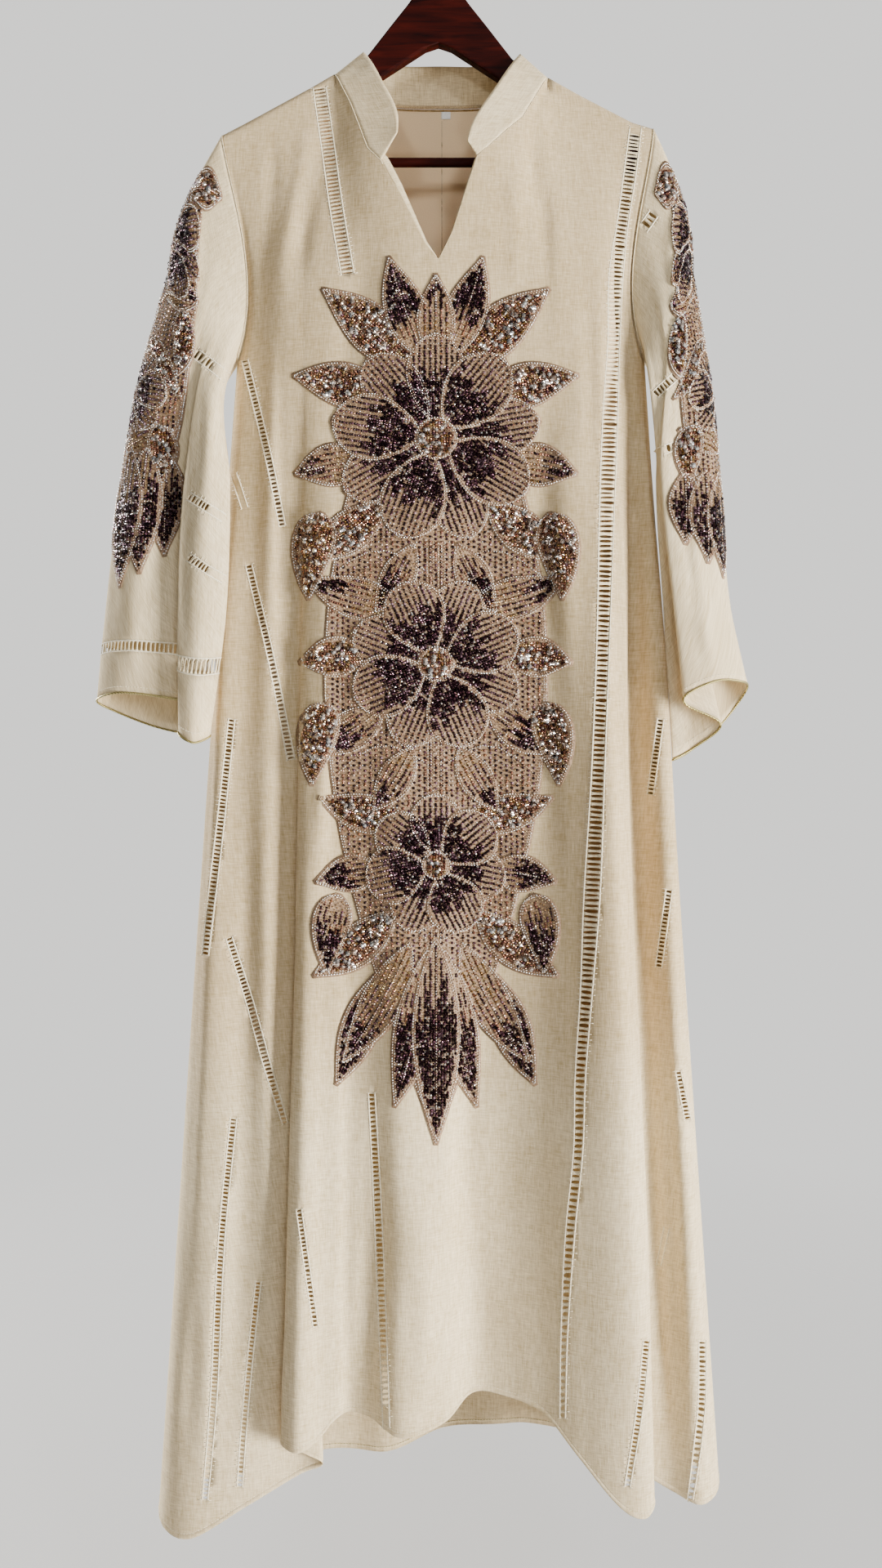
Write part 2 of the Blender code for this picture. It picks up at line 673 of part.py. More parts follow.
def add_arms(collection, look):
    whole = list(ARM_OUTLINE) + [(-x, z) for x, z in reversed(ARM_OUTLINE[1:-1])]
    curve = bpy.data.curves.new("hanger_arms", "CURVE")
    curve.dimensions = "2D"
    curve.fill_mode = "BOTH"
    curve.extrude = ARM_THICKNESS / 2
    path = curve.splines.new("POLY")
    path.points.add(len(whole) - 1)
    path.use_cyclic_u = True
    for point, (x, z) in zip(path.points, whole):
        point.co = (x * MM, z * MM, 0, 1)
    curve.materials.append(look)
    made = bpy.data.objects.new("hanger_arms", curve)
    made.rotation_euler = (math.pi / 2, 0, 0)
    collection.objects.link(made)
    weld = made.modifiers.new("weld", "WELD")
    weld.merge_threshold = 10 * SMALL
    bevel = made.modifiers.new("rounding", "BEVEL")
    bevel.width = ARM_ROUNDING
    bevel.segments = 2
    bevel.limit_method = "ANGLE"
    bevel.angle_limit = math.radians(ARM_EDGE_ANGLE)


def add_bar(collection, look):
    length = 2 * (BAR_SOCKET_X - SEAM_GAP)
    bpy.ops.mesh.primitive_cylinder_add(vertices=BAR_SIDES, radius=BAR_RADIUS, depth=length,
                                        location=(0, 0, BAR_Z), rotation=(0, math.pi / 2, 0))
    made = bpy.context.object
    made.name = "hanger_bar"
    made.data.materials.append(look)
    made.data.shade_smooth()
    made.data.set_sharp_from_angle(angle=math.radians(BAR_EDGE_ANGLE))
    for other in list(made.users_collection):
        other.objects.unlink(made)
    collection.objects.link(made)


def add_hook(collection, look):
    """A wire that rises from the wood and bends over the rail; its inner top is the origin."""
    radius = HOOK_INNER_RADIUS + HOOK_WIRE_RADIUS
    centre_z = -HOOK_INNER_RADIUS
    route = [(0, WOOD_TOP_Z + SEAM_GAP)]
    route += [(x * MM, WOOD_TOP_Z + rise * MM) for x, rise in HOOK_NECK]
    for k in range(HOOK_STEPS + 1):
        angle = math.radians(mix(*HOOK_ANGLES, k / HOOK_STEPS))
        route.append((radius * math.cos(angle), centre_z + radius * math.sin(angle)))
    curve = bpy.data.curves.new("hanger_hook", "CURVE")
    curve.dimensions = "3D"
    curve.bevel_depth = HOOK_WIRE_RADIUS
    curve.bevel_resolution = 2
    curve.use_fill_caps = True
    path = curve.splines.new("POLY")
    path.points.add(len(route) - 1)
    for point, (x, z) in zip(path.points, route):
        point.co = (x, 0, z, 1)
    curve.materials.append(look)
    collection.objects.link(bpy.data.objects.new("hanger_hook", curve))


def build():
    clear_scene()
    collection = bpy.data.collections.new("abaya_on_hanger")
    bpy.context.scene.collection.children.link(collection)
    linen = material("slub linen", OAT, 0.85)
    lining = material("lining", BEIGE, 0.7)
    white = material("label tape", WHITE, 0.7)
    gold = material("gold cord", GOLD_GREEN, 0.4, 0.6)
    wood = material("mahogany", MAHOGANY, 0.35)
    steel = material("plated wire", STEEL, 0.3, 1.0)

    front = panel_grid(FRONT_FOLDS)
    back = panel_grid(BACK_FOLDS)
    for name, table, grid, flip in (("front", FRONT_FOLDS, front, -1), ("back", BACK_FOLDS, back, 1)):
        cloth_wall(collection, name, grid, CLOTH_WALL, linen, flip, turn=panel_turn,
                   corners=neck_corners(table))
        inner = lining_grid(table, name == "back")
        cloth_wall(collection, "lining_" + name, inner, LINING_WALL, lining, flip)
    cloth_wall(collection, "neck_label", label_grid(inner), LABEL_WALL, white, 1)
    for name, table, side in (("right", RIGHT_SLEEVE_FOLDS, -1), ("left", LEFT_SLEEVE_FOLDS, 1)):
        cloth_wall(collection, name + "_sleeve", sleeve_grid(table, side), CLOTH_WALL, linen, side, True,
                   sleeve_turn)
        add_piping(collection, name + "_cuff_piping", table, side, gold)
    cloth_wall(collection, "collar", collar_grid(), COLLAR_WALL, linen, 1, turn=collar_turn)
    add_arms(collection, wood)
    add_bar(collection, wood)
    add_hook(collection, steel)


build()
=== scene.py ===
"""Looks of an abaya on a wooden hanger.

Front is -Y, the wearer's left is +X, up is +Z. The origin is the inner top of the hook.
Lengths are in metres, the tables in millimetres. Each cloth piece is a fine thin shell on its solid's form.
"""
import functools
import math
import random
from collections import namedtuple

import bmesh
import bpy
import numpy as np
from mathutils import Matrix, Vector, noise
from mathutils.bvhtree import BVHTree


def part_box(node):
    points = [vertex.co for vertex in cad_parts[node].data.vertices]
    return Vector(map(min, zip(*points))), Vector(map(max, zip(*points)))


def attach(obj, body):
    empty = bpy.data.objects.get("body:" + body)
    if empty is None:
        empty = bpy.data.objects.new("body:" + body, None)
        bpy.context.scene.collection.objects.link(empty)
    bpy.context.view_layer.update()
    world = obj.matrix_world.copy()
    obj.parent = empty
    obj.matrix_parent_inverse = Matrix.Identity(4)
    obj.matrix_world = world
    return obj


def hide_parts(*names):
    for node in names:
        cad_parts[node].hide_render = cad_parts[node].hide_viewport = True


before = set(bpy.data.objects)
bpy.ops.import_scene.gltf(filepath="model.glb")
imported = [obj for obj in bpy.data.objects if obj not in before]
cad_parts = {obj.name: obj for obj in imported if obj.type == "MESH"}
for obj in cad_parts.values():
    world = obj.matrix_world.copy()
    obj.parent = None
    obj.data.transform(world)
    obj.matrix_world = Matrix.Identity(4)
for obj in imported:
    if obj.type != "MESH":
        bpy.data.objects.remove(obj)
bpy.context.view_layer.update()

MM = 0.001
BODY = "root"
SMALL = 0.001 * MM
TINY = 1e-12

# Walls and gaps of the solids
LINING_WALL = 1.0 * MM
SEAM_GAP = 0.3 * MM

# Levels of the dress
CHEST_Z = -480 * MM
HIP_Z = -858 * MM
LINING_HEM_Z = -1240 * MM

# Neck and shoulders
NECK_DEPTH = 36 * MM
BACK_NECK_Z = -190 * MM
RIDGE_DEPTH = 10.5 * MM
RIDGE_DROP = 9 * MM
NECK_CROWDING = 1.5
NECK_CORNER_SHAPE = 4
LINING_INSET = 3.2 * MM
LINING_FIRST_ROW = 4
LINING_NECK_SHARE = 1.2
COLLAR_GAP = 0.6 * MM
NECK_RISE = 200 * MM
ARMHOLE_GAP = 0.6 * MM
CAP_BULGE = 10 * MM
ARMHOLE_CURVE = 16 * MM
ARMHOLE_REACH = 222 * MM
ARMHOLE_SIDE_POWER = 6
CURVE_TOP = 27 / 4
NECK_ROUNDING = 3
NECK_SOFT = 16 * MM
NECK_SOFT_ROUNDS = 36
NECK_SOFT_SHARE = 0.7
NECK_SOFT_FROM = 9 * MM
NECK_SOFT_OVER = 20 * MM
HEM_START = 9 * MM

# Lining
LINING_SHOULDER = 200 * MM
LINING_SPREAD = 1.2
LINING_SIDE_Y = 8 * MM
LINING_CELLS = 36
LINING_FRONT_Y = -12 * MM
LINING_BACK_Y = 20 * MM
LINING_FLATNESS = 4

# Trim
PIPING_RADIUS = 1.2 * MM
LABEL_X = (3 * MM, 13 * MM)
LABEL_CELLS = 8
LABEL_DROP = 4 * MM

# Shoulder line and front neckline, left to right: x, z
FRONT_TOP_EDGE = (
    (-230, -239), (-205, -226), (-135, -188), (-111, -174),
    (-92.5, -214), (-74, -265), (-60, -280), (-46, -306), (-15, -366), (0, -384), (14, -356), (40, -276),
    (52, -266), (88, -231), (117, -178),
    (149, -196), (205, -225), (228, -232),
)
NECK_POINT_LEFT = -111
NECK_POINT_RIGHT = 117

# One row for each fold line of the front, from side seam to side seam, in mm.
# top, chest, hip, hem: x at each level. y_...: depth there. z_hem: height of the hem. cells: grid cells on.
FRONT_FOLDS = (
    # name, top, chest, hip, hem, y_chest, y_hip, y_hem, z_hem, cells
    ("side seam", -230, -214, -243, -297, 0, 10, 2, -1690, 1),
    ("outer lobe side", -222, -206, -236, -288, -10, -4, -24, -1704, 2),
    ("outer lobe crest", -205, -191, -215, -256, -16, -13, -38, -1708, 2),
    ("outer lobe inner", -188, -176, -185, -201, -22, -17, -30, -1680, 2),
    ("outer lobe under", -172, -163, -160, -146, -26, -16, -15, -1654, 2),
    ("tuck turn", -160, -151, -149, -121, -28, -16, -22, -1640, 2),
    ("tuck return", -152, -142, -145, -140, -29, -20, -30, -1624, 2),
    ("front fold edge", -145, -136, -144, -162, -30, -27, -42, -1608, 2),
    ("front pipe crest", -135, -127, -134, -145, -31, -34, -58, -1609, 2),
    ("front pipe inner", -118, -113, -117, -124, -32, -37, -46, -1603, 1),
    ("valley left", -111, -101, -102, -104, -33, -36, -25, -1584, 4),
    ("rise left", -74, -73, -72, -74, -34, -37, -28, -1586, 2),
    ("crest left", -46, -43, -41, -39, -35, -40, -48, -1599, 3),
    ("centre", 0, 0, 2, 6, -35, -38, -34, -1590, 2),
    ("valley right", 28, 28, 32, 36, -35, -36, -12, -1570, 2),
    ("valley right end", 52, 54, 60, 68, -35, -36, -14, -1572, 2),
    ("rise right", 88, 90, 98, 108, -34, -38, -28, -1583, 3),
    ("right pipe start", 117, 123, 130, 142, -33, -41, -44, -1618, 2),
    ("right pipe crest", 160, 160, 165, 184, -29, -42, -58, -1663, 2),
    ("right pipe outer", 178, 178, 184, 210, -25, -40, -59, -1675, 2),
    ("right fold edge", 190, 188, 196, 222, -21, -33, -48, -1665, 2),
    ("right tuck return", 197, 193, 197, 209, -18, -27, -36, -1658, 2),
    ("right tuck turn", 202, 197, 198, 197, -16, -20, -24, -1650, 2),
    ("right tuck floor", 207, 201, 203, 214, -14, -13, -12, -1655, 2),
    ("right lobe rise", 213, 206, 213, 246, -13, -8, -14, -1672, 2),
    ("right lobe crest", 219, 210, 228, 272, -11, -9, -26, -1680, 2),
    ("right lobe side", 224, 215, 240, 292, -10, -2, -14, -1677, 1),
    ("side seam", 228, 219, 246, 299, 0, 12, 4, -1668, 0),
)

BACK_FOLDS = (
    # name, top, chest, hip, hem, y_chest, y_hip, y_hem, z_hem, cells
    ("side seam", -230, -214, -243, -297, 0, 10, 2, -1690, 2),
    ("side left", -222, -206, -234, -284, 10, 22, 24, -1688, 2),
    ("crest 1", -190, -180, -200, -238, 19, 30, 44, -1688, 2),
    ("valley 1", -150, -135, -150, -182, 26, 30, 28, -1672, 2),
    ("crest 2", -111, -100, -104, -120, 30, 38, 52, -1660, 3),
    ("valley 2", -52, -48, -50, -56, 32, 34, 36, -1658, 2),
    ("centre crest", 0, 0, 0, 4, 33, 41, 52, -1640, 2),
    ("valley 3", 54, 50, 54, 60, 32, 35, 36, -1628, 3),
    ("crest 3", 117, 107, 112, 124, 30, 39, 53, -1636, 2),
    ("valley 4", 150, 137, 154, 182, 26, 30, 30, -1650, 2),
    ("crest 4", 192, 184, 206, 244, 18, 31, 46, -1664, 2),
    ("side right", 221, 211, 238, 288, 10, 23, 26, -1668, 2),
    ("side seam", 228, 219, 246, 299, 0, 12, 4, -1668, 0),
)

# Rows of the grid: drops below the top edge, then shares of the way to each level
TOP_DROPS = (0, 0.7, 1.5, 2.6, 4, 6.3, 9)
CHEST_CELLS = 40
FINER = 3
HEM_ROWS = (7.4, 6.2, 5.6, 5.0, 2.4, 0.8, 0)
HIP_CELLS = 48
HEM_CELLS = 100

# One row for each fold line round a sleeve, in mm, over the front and back under the inner edge.
# share: how far down the armhole it starts. x, y at three levels, then x, y, z at the cuff.
RIGHT_SLEEVE_FOLDS = (
    # name, share, x_up, y_up, x_elbow, y_elbow, x_fore, y_fore, x_cuff, y_cuff, z_cuff
    ("outer edge", 0.0, -287, 0, -337, 0, -355, 0, -364, 0, -838),
    ("front outer", 0.12, -272, -20, -316, -22, -334, -21, -338, -22, -831),
    ("front middle", 0.4, -250, -30, -286, -28, -297, -25, -298, -25, -834),
    ("tuck turn", 0.55, -243, -32, -260, -25, -251, -20, -248, -18, -844),
    ("tuck return", 0.65, -238, -33, -257, -29, -252, -28, -249, -27, -856),
    ("fold edge", 0.75, -233, -34, -262, -38, -270, -38, -269, -38, -872),
    ("fold crest", 0.88, -219, -30, -235, -46, -243, -47, -252, -46, -884),
    ("inner edge", 1.0, -225, -3, -217, -29, -221, -29, -238, -27, -876),
    ("back inner", 0.88, -239, 12, -241, -9, -246, -7, -262, -3, -874),
    ("back middle", 0.5, -248, 15, -282, 11, -294, 12, -304, 16, -865),
    ("back outer", 0.12, -270, 17, -314, 17, -332, 18, -344, 16, -850),
)
LEFT_SLEEVE_FOLDS = (
    # name, share, x_up, y_up, x_elbow, y_elbow, x_fore, y_fore, x_cuff, y_cuff, z_cuff
    ("outer edge", 0.0, 270, 0, 299, 0, 312, 0, 329, 0, -823),
    ("front outer", 0.12, 259, -18, 286, -24, 300, -26, 314, -26, -819),
    ("front middle", 0.4, 244, -28, 258, -36, 272, -42, 287, -43, -820),
    ("fold edge", 0.55, 234, -33, 232, -39, 245, -43, 256, -43, -834),
    ("fold return", 0.65, 230, -32, 231, -33, 247, -34, 258, -34, -845),
    ("tuck turn", 0.77, 221, -31, 234, -28, 267, -25, 295, -24, -864),
    ("inner lobe", 0.88, 216, -27, 231, -21, 252, -15, 270, -12, -888),
    ("inner edge", 1.0, 237, 0, 230, -11, 237, -13, 247, -11, -901),
    ("back inner", 0.88, 241, 13, 247, 4, 258, 4, 266, 4, -893),
    ("back middle", 0.5, 247, 14, 268, 13, 284, 14, 298, 15, -868),
    ("back outer", 0.12, 258, 15, 287, 14, 300, 15, 318, 14, -845),
)
# Level of each sleeve station at its outer and its inner edge, and the cells that follow it
SLEEVE_LEVELS = ((-385, -502), (-600, -612), (-745, -748))
SLEEVE_CELLS = (26, 22, 20, 16)
SLEEVE_CELLS_ROUND = 9

# One row for each station of the collar, from its left front corner round the back, in mm.
# base_x: where it meets the neckline. side: -1 on the front's neckline, 1 on the back's, 0 at the shoulder.
COLLAR_STATIONS = (
    # name, base_x, side, free edge x, y, z
    ("left corner", -60, -1, -43, -37.5, -253),
    ("left front", -74, -1, -42, -36, -240),
    ("left slope", -92.5, -1, -60, -24, -190),
    ("left ridge", -102, -1, -73, -12, -162),
    ("left shoulder", -111, 0, -80, 0, -148),
    ("left back ridge", -104, 1, -76, 12.5, -147),
    ("left back", -70, 1, -56, 27, -146),
    ("back", 3, 1, 3, 33, -145),
    ("right back", 74, 1, 60, 27, -147),
    ("right back ridge", 110, 1, 82, 12.5, -149),
    ("right shoulder", 117, 0, 87, 0, -150),
    ("right ridge", 107, -1, 79, -12, -165),
    ("right slope", 88, -1, 61, -25, -197),
    ("right front", 52, -1, 31, -37, -256),
    ("right corner", 40, -1, 30, -37.5, -262),
)
COLLAR_CELLS = 7
COLLAR_HEIGHT_CELLS = 12

# The photograph: its scale at the plane of the garment, and where the camera stood
PHOTO_HEIGHT = 1919 * 0.87 * MM
CAMERA_DISTANCE = 1.30
CAMERA_X = 2.6 * MM
CAMERA_Z = -927.6 * MM
SENSOR = 36.0

# Cloth as it is seen: how thick each kind is, and how its folds end
LINEN_THICK = 0.8 * MM
LINING_THICK = 0.4 * MM
COLLAR_THICK = 1.6 * MM
TAPE_THICK = 0.4 * MM
CREASE_FADE = 3.5
# The hollow beside a ridge, as a share of its height
SHOULDER = 0.35
RIPPLE_STRETCH = 3.0

# Ladders
CUT_STEP = 22
CUT_REACH = 42 * MM
CUT_MARGIN = 9 * MM
CUT_SNAP = 0.05 * MM
LAYER_GAP = 3 * MM
RUNG_SINK = 0.35 * MM
RUNG_THICK = 0.5 * MM
# A bundle's ends, waist and middle: where along it, and how narrow its middle is beside its waist
BUNDLE_SHARES = (0, 0.22, 0.5, 0.78, 1)
BUNDLE_MIDDLE = 0.85
# Least and most, as shares of the step from bundle to bundle or of the bundle's width
RUNG_SLANTS = (-0.15, 0.2)
RUNG_WIDTHS = (0.85, 1.0)
RUNG_WAISTS = (0.42, 0.66)
# A ladder stops where the cloth jumps by so many steps, and has at least so many bundles
LADDER_BREAK = 3
LADDER_LEAST = 3
# Tick stitches beside the cords; how far they reach, in mm
TICK_REACHES = (1.5, 4.5)
TICK_LIFT = 0.15 * MM
TICK_RADIUS = 0.35 * MM
TICK_SQUASH = 0.6
TICK_SIDES = 3
# The pale cord along each edge of a ladder
CORD_LIFT = 0.05 * MM
CORD_RADIUS = 0.75 * MM
CORD_SQUASH = 0.7

# Sewing; a squash is how flat a cord lies on the cloth
FORWARD = Vector((0, -1, 0))
ROUND_SIDES = 6
SEAM_SQUASH = 0.6
SHOULDER_SEAM_SQUASH = 0.5
NECK_CORD_SQUASH = 0.55
THREAD_SQUASH = 0.8
SEAM_RADIUS = 0.9 * MM
FOLD_RADIUS = 0.55 * MM
FOLD_END_X = -58 * MM
SEAM_START_X = 43 * MM
NECK_CORD_RADIUS = 2.0 * MM
NECK_CORD_INSET = 4.6 * MM
NECK_CORD_X = (-86 * MM, 90 * MM)
CENTRE_SEAM_X = 3.5 * MM
CENTRE_SEAM_Z = (-222 * MM, -372 * MM)
CENTRE_SEAM_RADIUS = 0.8 * MM
SEAM_STEPS = 60
STITCH_PITCH = 3.2 * MM
STITCH_LONG = 2.1 * MM
STITCH_RADIUS = 0.3 * MM
STITCH_START = 0.15
STITCH_LIFT = 0.4
HEM_STITCH_ROW = -5
CUFF_STITCH_ROW = -2
# How wide the turned-in edge of the neck shows at x, in mm
FACING_WIDTHS = ((-76, 0.5), (-68, 9.5), (-46, 8.0), (-15, 3.5), (0, 0.9), (14, 1.2), (40, 1.8), (52, 0.5))
FACING_DEPTH = 3.5 * MM
FACING_CELLS = 3
PIPING_SIDES = 8

# Beadwork: places and lengths in mm, sizes of beads and sequins as shares of the usual one
TULLE_LIFT = 0.3 * MM
TULLE_LAYER = 0.16 * MM
TULLE_MARGIN = 2.4
BEAD_STEP = 2.9
BEAD_SIDES = 4
SEQUIN_SIDES = 6
# A bead's half width and half length and a sequin's depth, as shares of its radius
BEAD_ACROSS = 0.56
BEAD_HALF = 0.62
CUP_DEPTH = 0.12
# Each kind: how unevenly it tilts, radius, and how much it is stretched
KINDS = {"foil": (0.26, 1.6 * MM, 1), "ring": (0.12, 1.6 * MM, 1), "bead": (0.05, 0.98 * MM, 1.2)}
SMALL_BEAD = 0.9
# A big sequin stands higher and tilts more
BIG_SIZE = 1.4
BIG_TILT = 0.35
BIG_LIFT = 0.8 * MM
# How high all stand on the net, with an uneven part in mm, and how far the next place may be at most
SEWN_LIFT = 0.75 * MM
SEWN_UNEVEN = 0.25
SEWN_REACH = 4 * MM
# The least and most that each piece's colour is lightened by
SHADES = (0.8, 1.15)
# How each form's width runs along it, as two powers
FORMS = {"petal": (1.25, 0.55), "leaf": (0.9, 0.95), "drop": (0.62, 0.8), "disc": (1.0, 0.55),
         "long": (1.0, 0.32)}
# Steps along and across a motif, the bare rim inside its outline and the second line of beads there
FILL_STEP = 2.7
LANE_STEP = 2.9
LANE_SHIFT = 0.12
SEQUIN_STRAY = 0.45
EDGE_ROOM = 3.6
INNER_LINE = 2.3
OUTLINE_STEPS = 26
OUTLINE_MARGIN = 1.0
RIB_STEPS = 20
LOOK_AHEAD = 0.3
NET_THICK = 0.2 * MM
NET_CELL = 7
NET_LEAST_CELLS = 6
# A blossom's petals and centre, as shares of its radius
PETAL_LENGTH = 0.86
PETAL_WIDTH = 0.8
PETAL_START = 0.14
TOP_PETAL_WIDTH = 1.12
CENTRE_SIZE = 0.4

# The design: every motif starts at x, z and grows at an angle from straight up, in degrees
Motif = namedtuple("Motif", "form x z angle length width bend style layer")
DESIGN_MIDDLE = -3
FRONT_MOTIFS = (
    # form, x, z, angle, length, width, bend, style, layer; each one again on the other side of the middle
    ("leaf", 6, -478, 20, 118, 44, -12, "plum leaf", 2),
    ("leaf", 20, -490, 48, 132, 50, 14, "rose", 1),
    ("leaf", 44, -520, 76, 108, 46, 16, "rose", 2),
    ("leaf", 70, -585, 100, 78, 44, 18, "gold", 1),
    ("leaf", 52, -628, 124, 104, 44, -22, "rose", 2),
    ("drop", 118, -640, 172, 92, 44, 24, "rose", 3),
    ("leaf", 20, -672, 150, 84, 36, -14, "plum leaf", 1),
    ("leaf", 30, -738, 74, 108, 44, -24, "gold", 1),
    ("leaf", 70, -792, 96, 72, 42, 20, "rose", 2),
    ("leaf", 52, -846, 120, 92, 42, -18, "plum leaf", 1),
    ("drop", 112, -842, 170, 88, 42, 24, "rose", 3),
    ("leaf", 22, -888, 148, 80, 36, -14, "gold", 2),
    ("leaf", 24, -965, 76, 100, 40, -24, "rose", 1),
    ("leaf", 52, -1020, 100, 74, 38, 20, "plum leaf", 2),
    ("leaf", 40, -1062, 128, 112, 42, -20, "rose", 1),
    ("drop", 100, -1046, 172, 84, 40, 22, "plum leaf", 3),
    ("leaf", 24, -1096, 150, 148, 44, -16, "gold", 2),
    ("leaf", 62, -1132, 160, 122, 40, -14, "fringe", 1),
    ("leaf", 6, -1104, 168, 170, 44, -12, "plum leaf", 3),
)
FRONT_MIDDLE_MOTIFS = (
    # form, z, angle, length, width, bend, style, layer
    ("leaf", -392, 180, 910, 236, 0, "ground", 0),
    ("leaf", -478, 0, 92, 40, 0, "gold", 3),
    ("leaf", -1092, 180, 218, 50, 0, "fringe", 4),
)
# z, radius, petals, turn
FRONT_BLOSSOMS = ((-560, 112, 9, 0), (-800, 94, 8, 22), (-1014, 76, 7, 0))
FRONT_BLOSSOM_LAYER = 4
# Rows of beads: the stem on both sides of the middle, and sprays from x, z to x, z
STEM_SHIFTS = (2.4, 6.0, 9.6)
STEM_ENDS = (-670, -1100)
STEM_TAPER = 0.8
SPRAYS = ((12, -700, 112, -706), (12, -905, 104, -916), (10, -1092, 92, -1100))
SPRAY_RISE = 24
SPRAY_SHARES = (0, 0.2, 0.4, 0.6, 0.8, 1)

# On a sleeve x is the distance round it from its outer edge, and z the distance down that edge
SLEEVE_MOTIFS = (
    # form, x, z, angle, length, width, bend, style, layer
    ("leaf", 8, -66, 50, 66, 36, 16, "rose", 1),
    ("leaf", 14, -180, 60, 64, 36, -18, "gold", 1),
    ("drop", 56, -178, 176, 76, 34, 20, "rose", 2),
    ("leaf", 10, -228, 128, 78, 34, -22, "rose", 1),
    ("leaf", 8, -352, 60, 66, 34, -18, "gold", 1),
    ("drop", 50, -320, 174, 72, 32, 20, "rose", 2),
)
# x, angle, how much shorter than the longest, width, bend, layer
SLEEVE_FRINGE = ((62, 174, 34, 38, -6, 2), (40, 176, 14, 42, -6, 3), (19, 177, 0, 44, -4, 4))
SLEEVE_BLOSSOMS = ((-124, 66, 8, 0), (-292, 54, 7, 25))
SLEEVE_BLOSSOM_LAYER = 3
SLEEVE_STEM_SHIFTS = (-3.5, 0, 3.5)
SLEEVE_STEM_ENDS = (-190, -400)
# Width of the net on a sleeve, where its fringe starts and how long that is
SLEEVE_SIZES = {"right_sleeve": (148, 350, 150), "left_sleeve": (124, 376, 112)}

# Ladders on the front, each laid out as it is seen from the camera: left edge x, right edge x and z, in mm
FRONT_LADDERS = (
    ((206, 218, -212), (197, 210, -279), (190, 202, -330), (182, 197, -380), (180, 193, -457),
     (175, 191, -532), (171, 187, -640), (169, 183, -751), (163, 177, -910), (154, 171, -1060),
     (151, 164, -1146), (145, 156, -1247), (144, 154, -1310), (135, 145, -1406), (130, 137, -1523),
     (129, 135, -1603)),
    ((-134, -120, -186), (-125, -111, -249), (-116, -102, -314), (-104, -90, -385)),
    ((-75, -68, -1256), (-70, -62, -1357), (-63, -55, -1523), (-59, -52, -1619)),
    ((-210, -203, -476), (-185, -178, -579), (-170, -163, -653)),
    ((-222, -215, -597), (-210, -203, -634)),
    ((-206, -199, -694), (-185, -178, -781), (-161, -153, -902)),
    ((-224, -217, -858), (-237, -229, -974), (-247, -239, -1060), (-252, -245, -1110)),
    ((-227, -220, -1091), (-205, -197, -1161), (-185, -177, -1233), (-166, -160, -1290)),
    ((-152, -146, -1380), (-145, -139, -1430), (-134, -128, -1506)),
    ((-222, -215, -1283), (-233, -226, -1390), (-245, -238, -1606), (-252, -246, -1690)),
    ((-195, -189, -1457), (-204, -198, -1540), (-210, -204, -1606), (-215, -209, -1676)),
    ((218, 225, -1520), (211, 218, -1590), (198, 204, -1676)),
    ((240, 246, -1400), (232, 237, -1440)),
    ((277, 285, -1520), (276, 284, -1590), (271, 279, -1639), (265, 271, -1690)),
    ((233, 240, -858), (222, 229, -939)),
    ((242, 249, -1040), (231, 238, -1123)),
    ((252, 258, -1233), (262, 269, -1285)),
)
# From bundle to bundle at a ladder's start and its end, in mm; the long ones, by their place in the list,
# open downwards
LADDER_PITCH = (4.0, 4.8)
FRONT_LADDER_PITCHES = {0: (3.8, 7.0), 1: (3.7, 4.4), 2: (4.8, 6.4), 13: (5.0, 7.0)}

BACK_LADDERS = (
    ((72, 86, -190), (76, 90, -320), (80, 94, -520), (86, 100, -800), (94, 107, -1100), (102, 113, -1400),
     (108, 116, -1590)),
    ((-86, -72, -190), (-90, -76, -320), (-94, -80, -520), (-100, -86, -800), (-107, -94, -1100),
     (-113, -102, -1400), (-116, -108, -1600)),
    ((-4, 5, -1180), (-2, 6, -1350), (2, 9, -1560)),
    ((196, 203, -560), (180, 187, -660), (166, 173, -740)),
    ((-200, -193, -640), (-184, -177, -740), (-170, -163, -820)),
    ((214, 221, -930), (200, 207, -1060), (190, 197, -1160)),
    ((-226, -219, -1180), (-214, -207, -1300), (-206, -199, -1420)),
    ((226, 233, -1300), (232, 239, -1450), (238, 244, -1600)),
)
BACK_LADDER_PITCHES = {0: (4.0, 7.0), 1: (4.0, 7.0), 2: (4.8, 6.4)}

# Ladders that run down or across a sleeve, laid out the same way
RIGHT_SLEEVE_LADDERS = (
    ((-265, -254, -469), (-246, -235, -483), (-227, -216, -498)),
    ((-271, -262, -621), (-250, -241, -634), (-229, -220, -647)),
    ((-271, -262, -686), (-250, -241, -700), (-229, -220, -712)),
)
LEFT_SLEEVE_LADDERS = (
    ((202, 213, -350), (214, 225, -334), (224, 235, -320)),
    ((226, 235, -513), (238, 247, -502), (249, 258, -492)),
    ((221, 230, -578), (238, 247, -571), (254, 263, -565)),
)

# Ladders round a sleeve: from where to where along it, as shares of its stations
SLEEVE_BANDS = {"right_sleeve": (3.36, 3.5)}
SLEEVE_BAND_PITCH = 4.6
BAND_RUNG_WIDTHS = (0.75, 0.95)
BAND_RUNG_WAIST = 0.5
BAND_SEED = 5

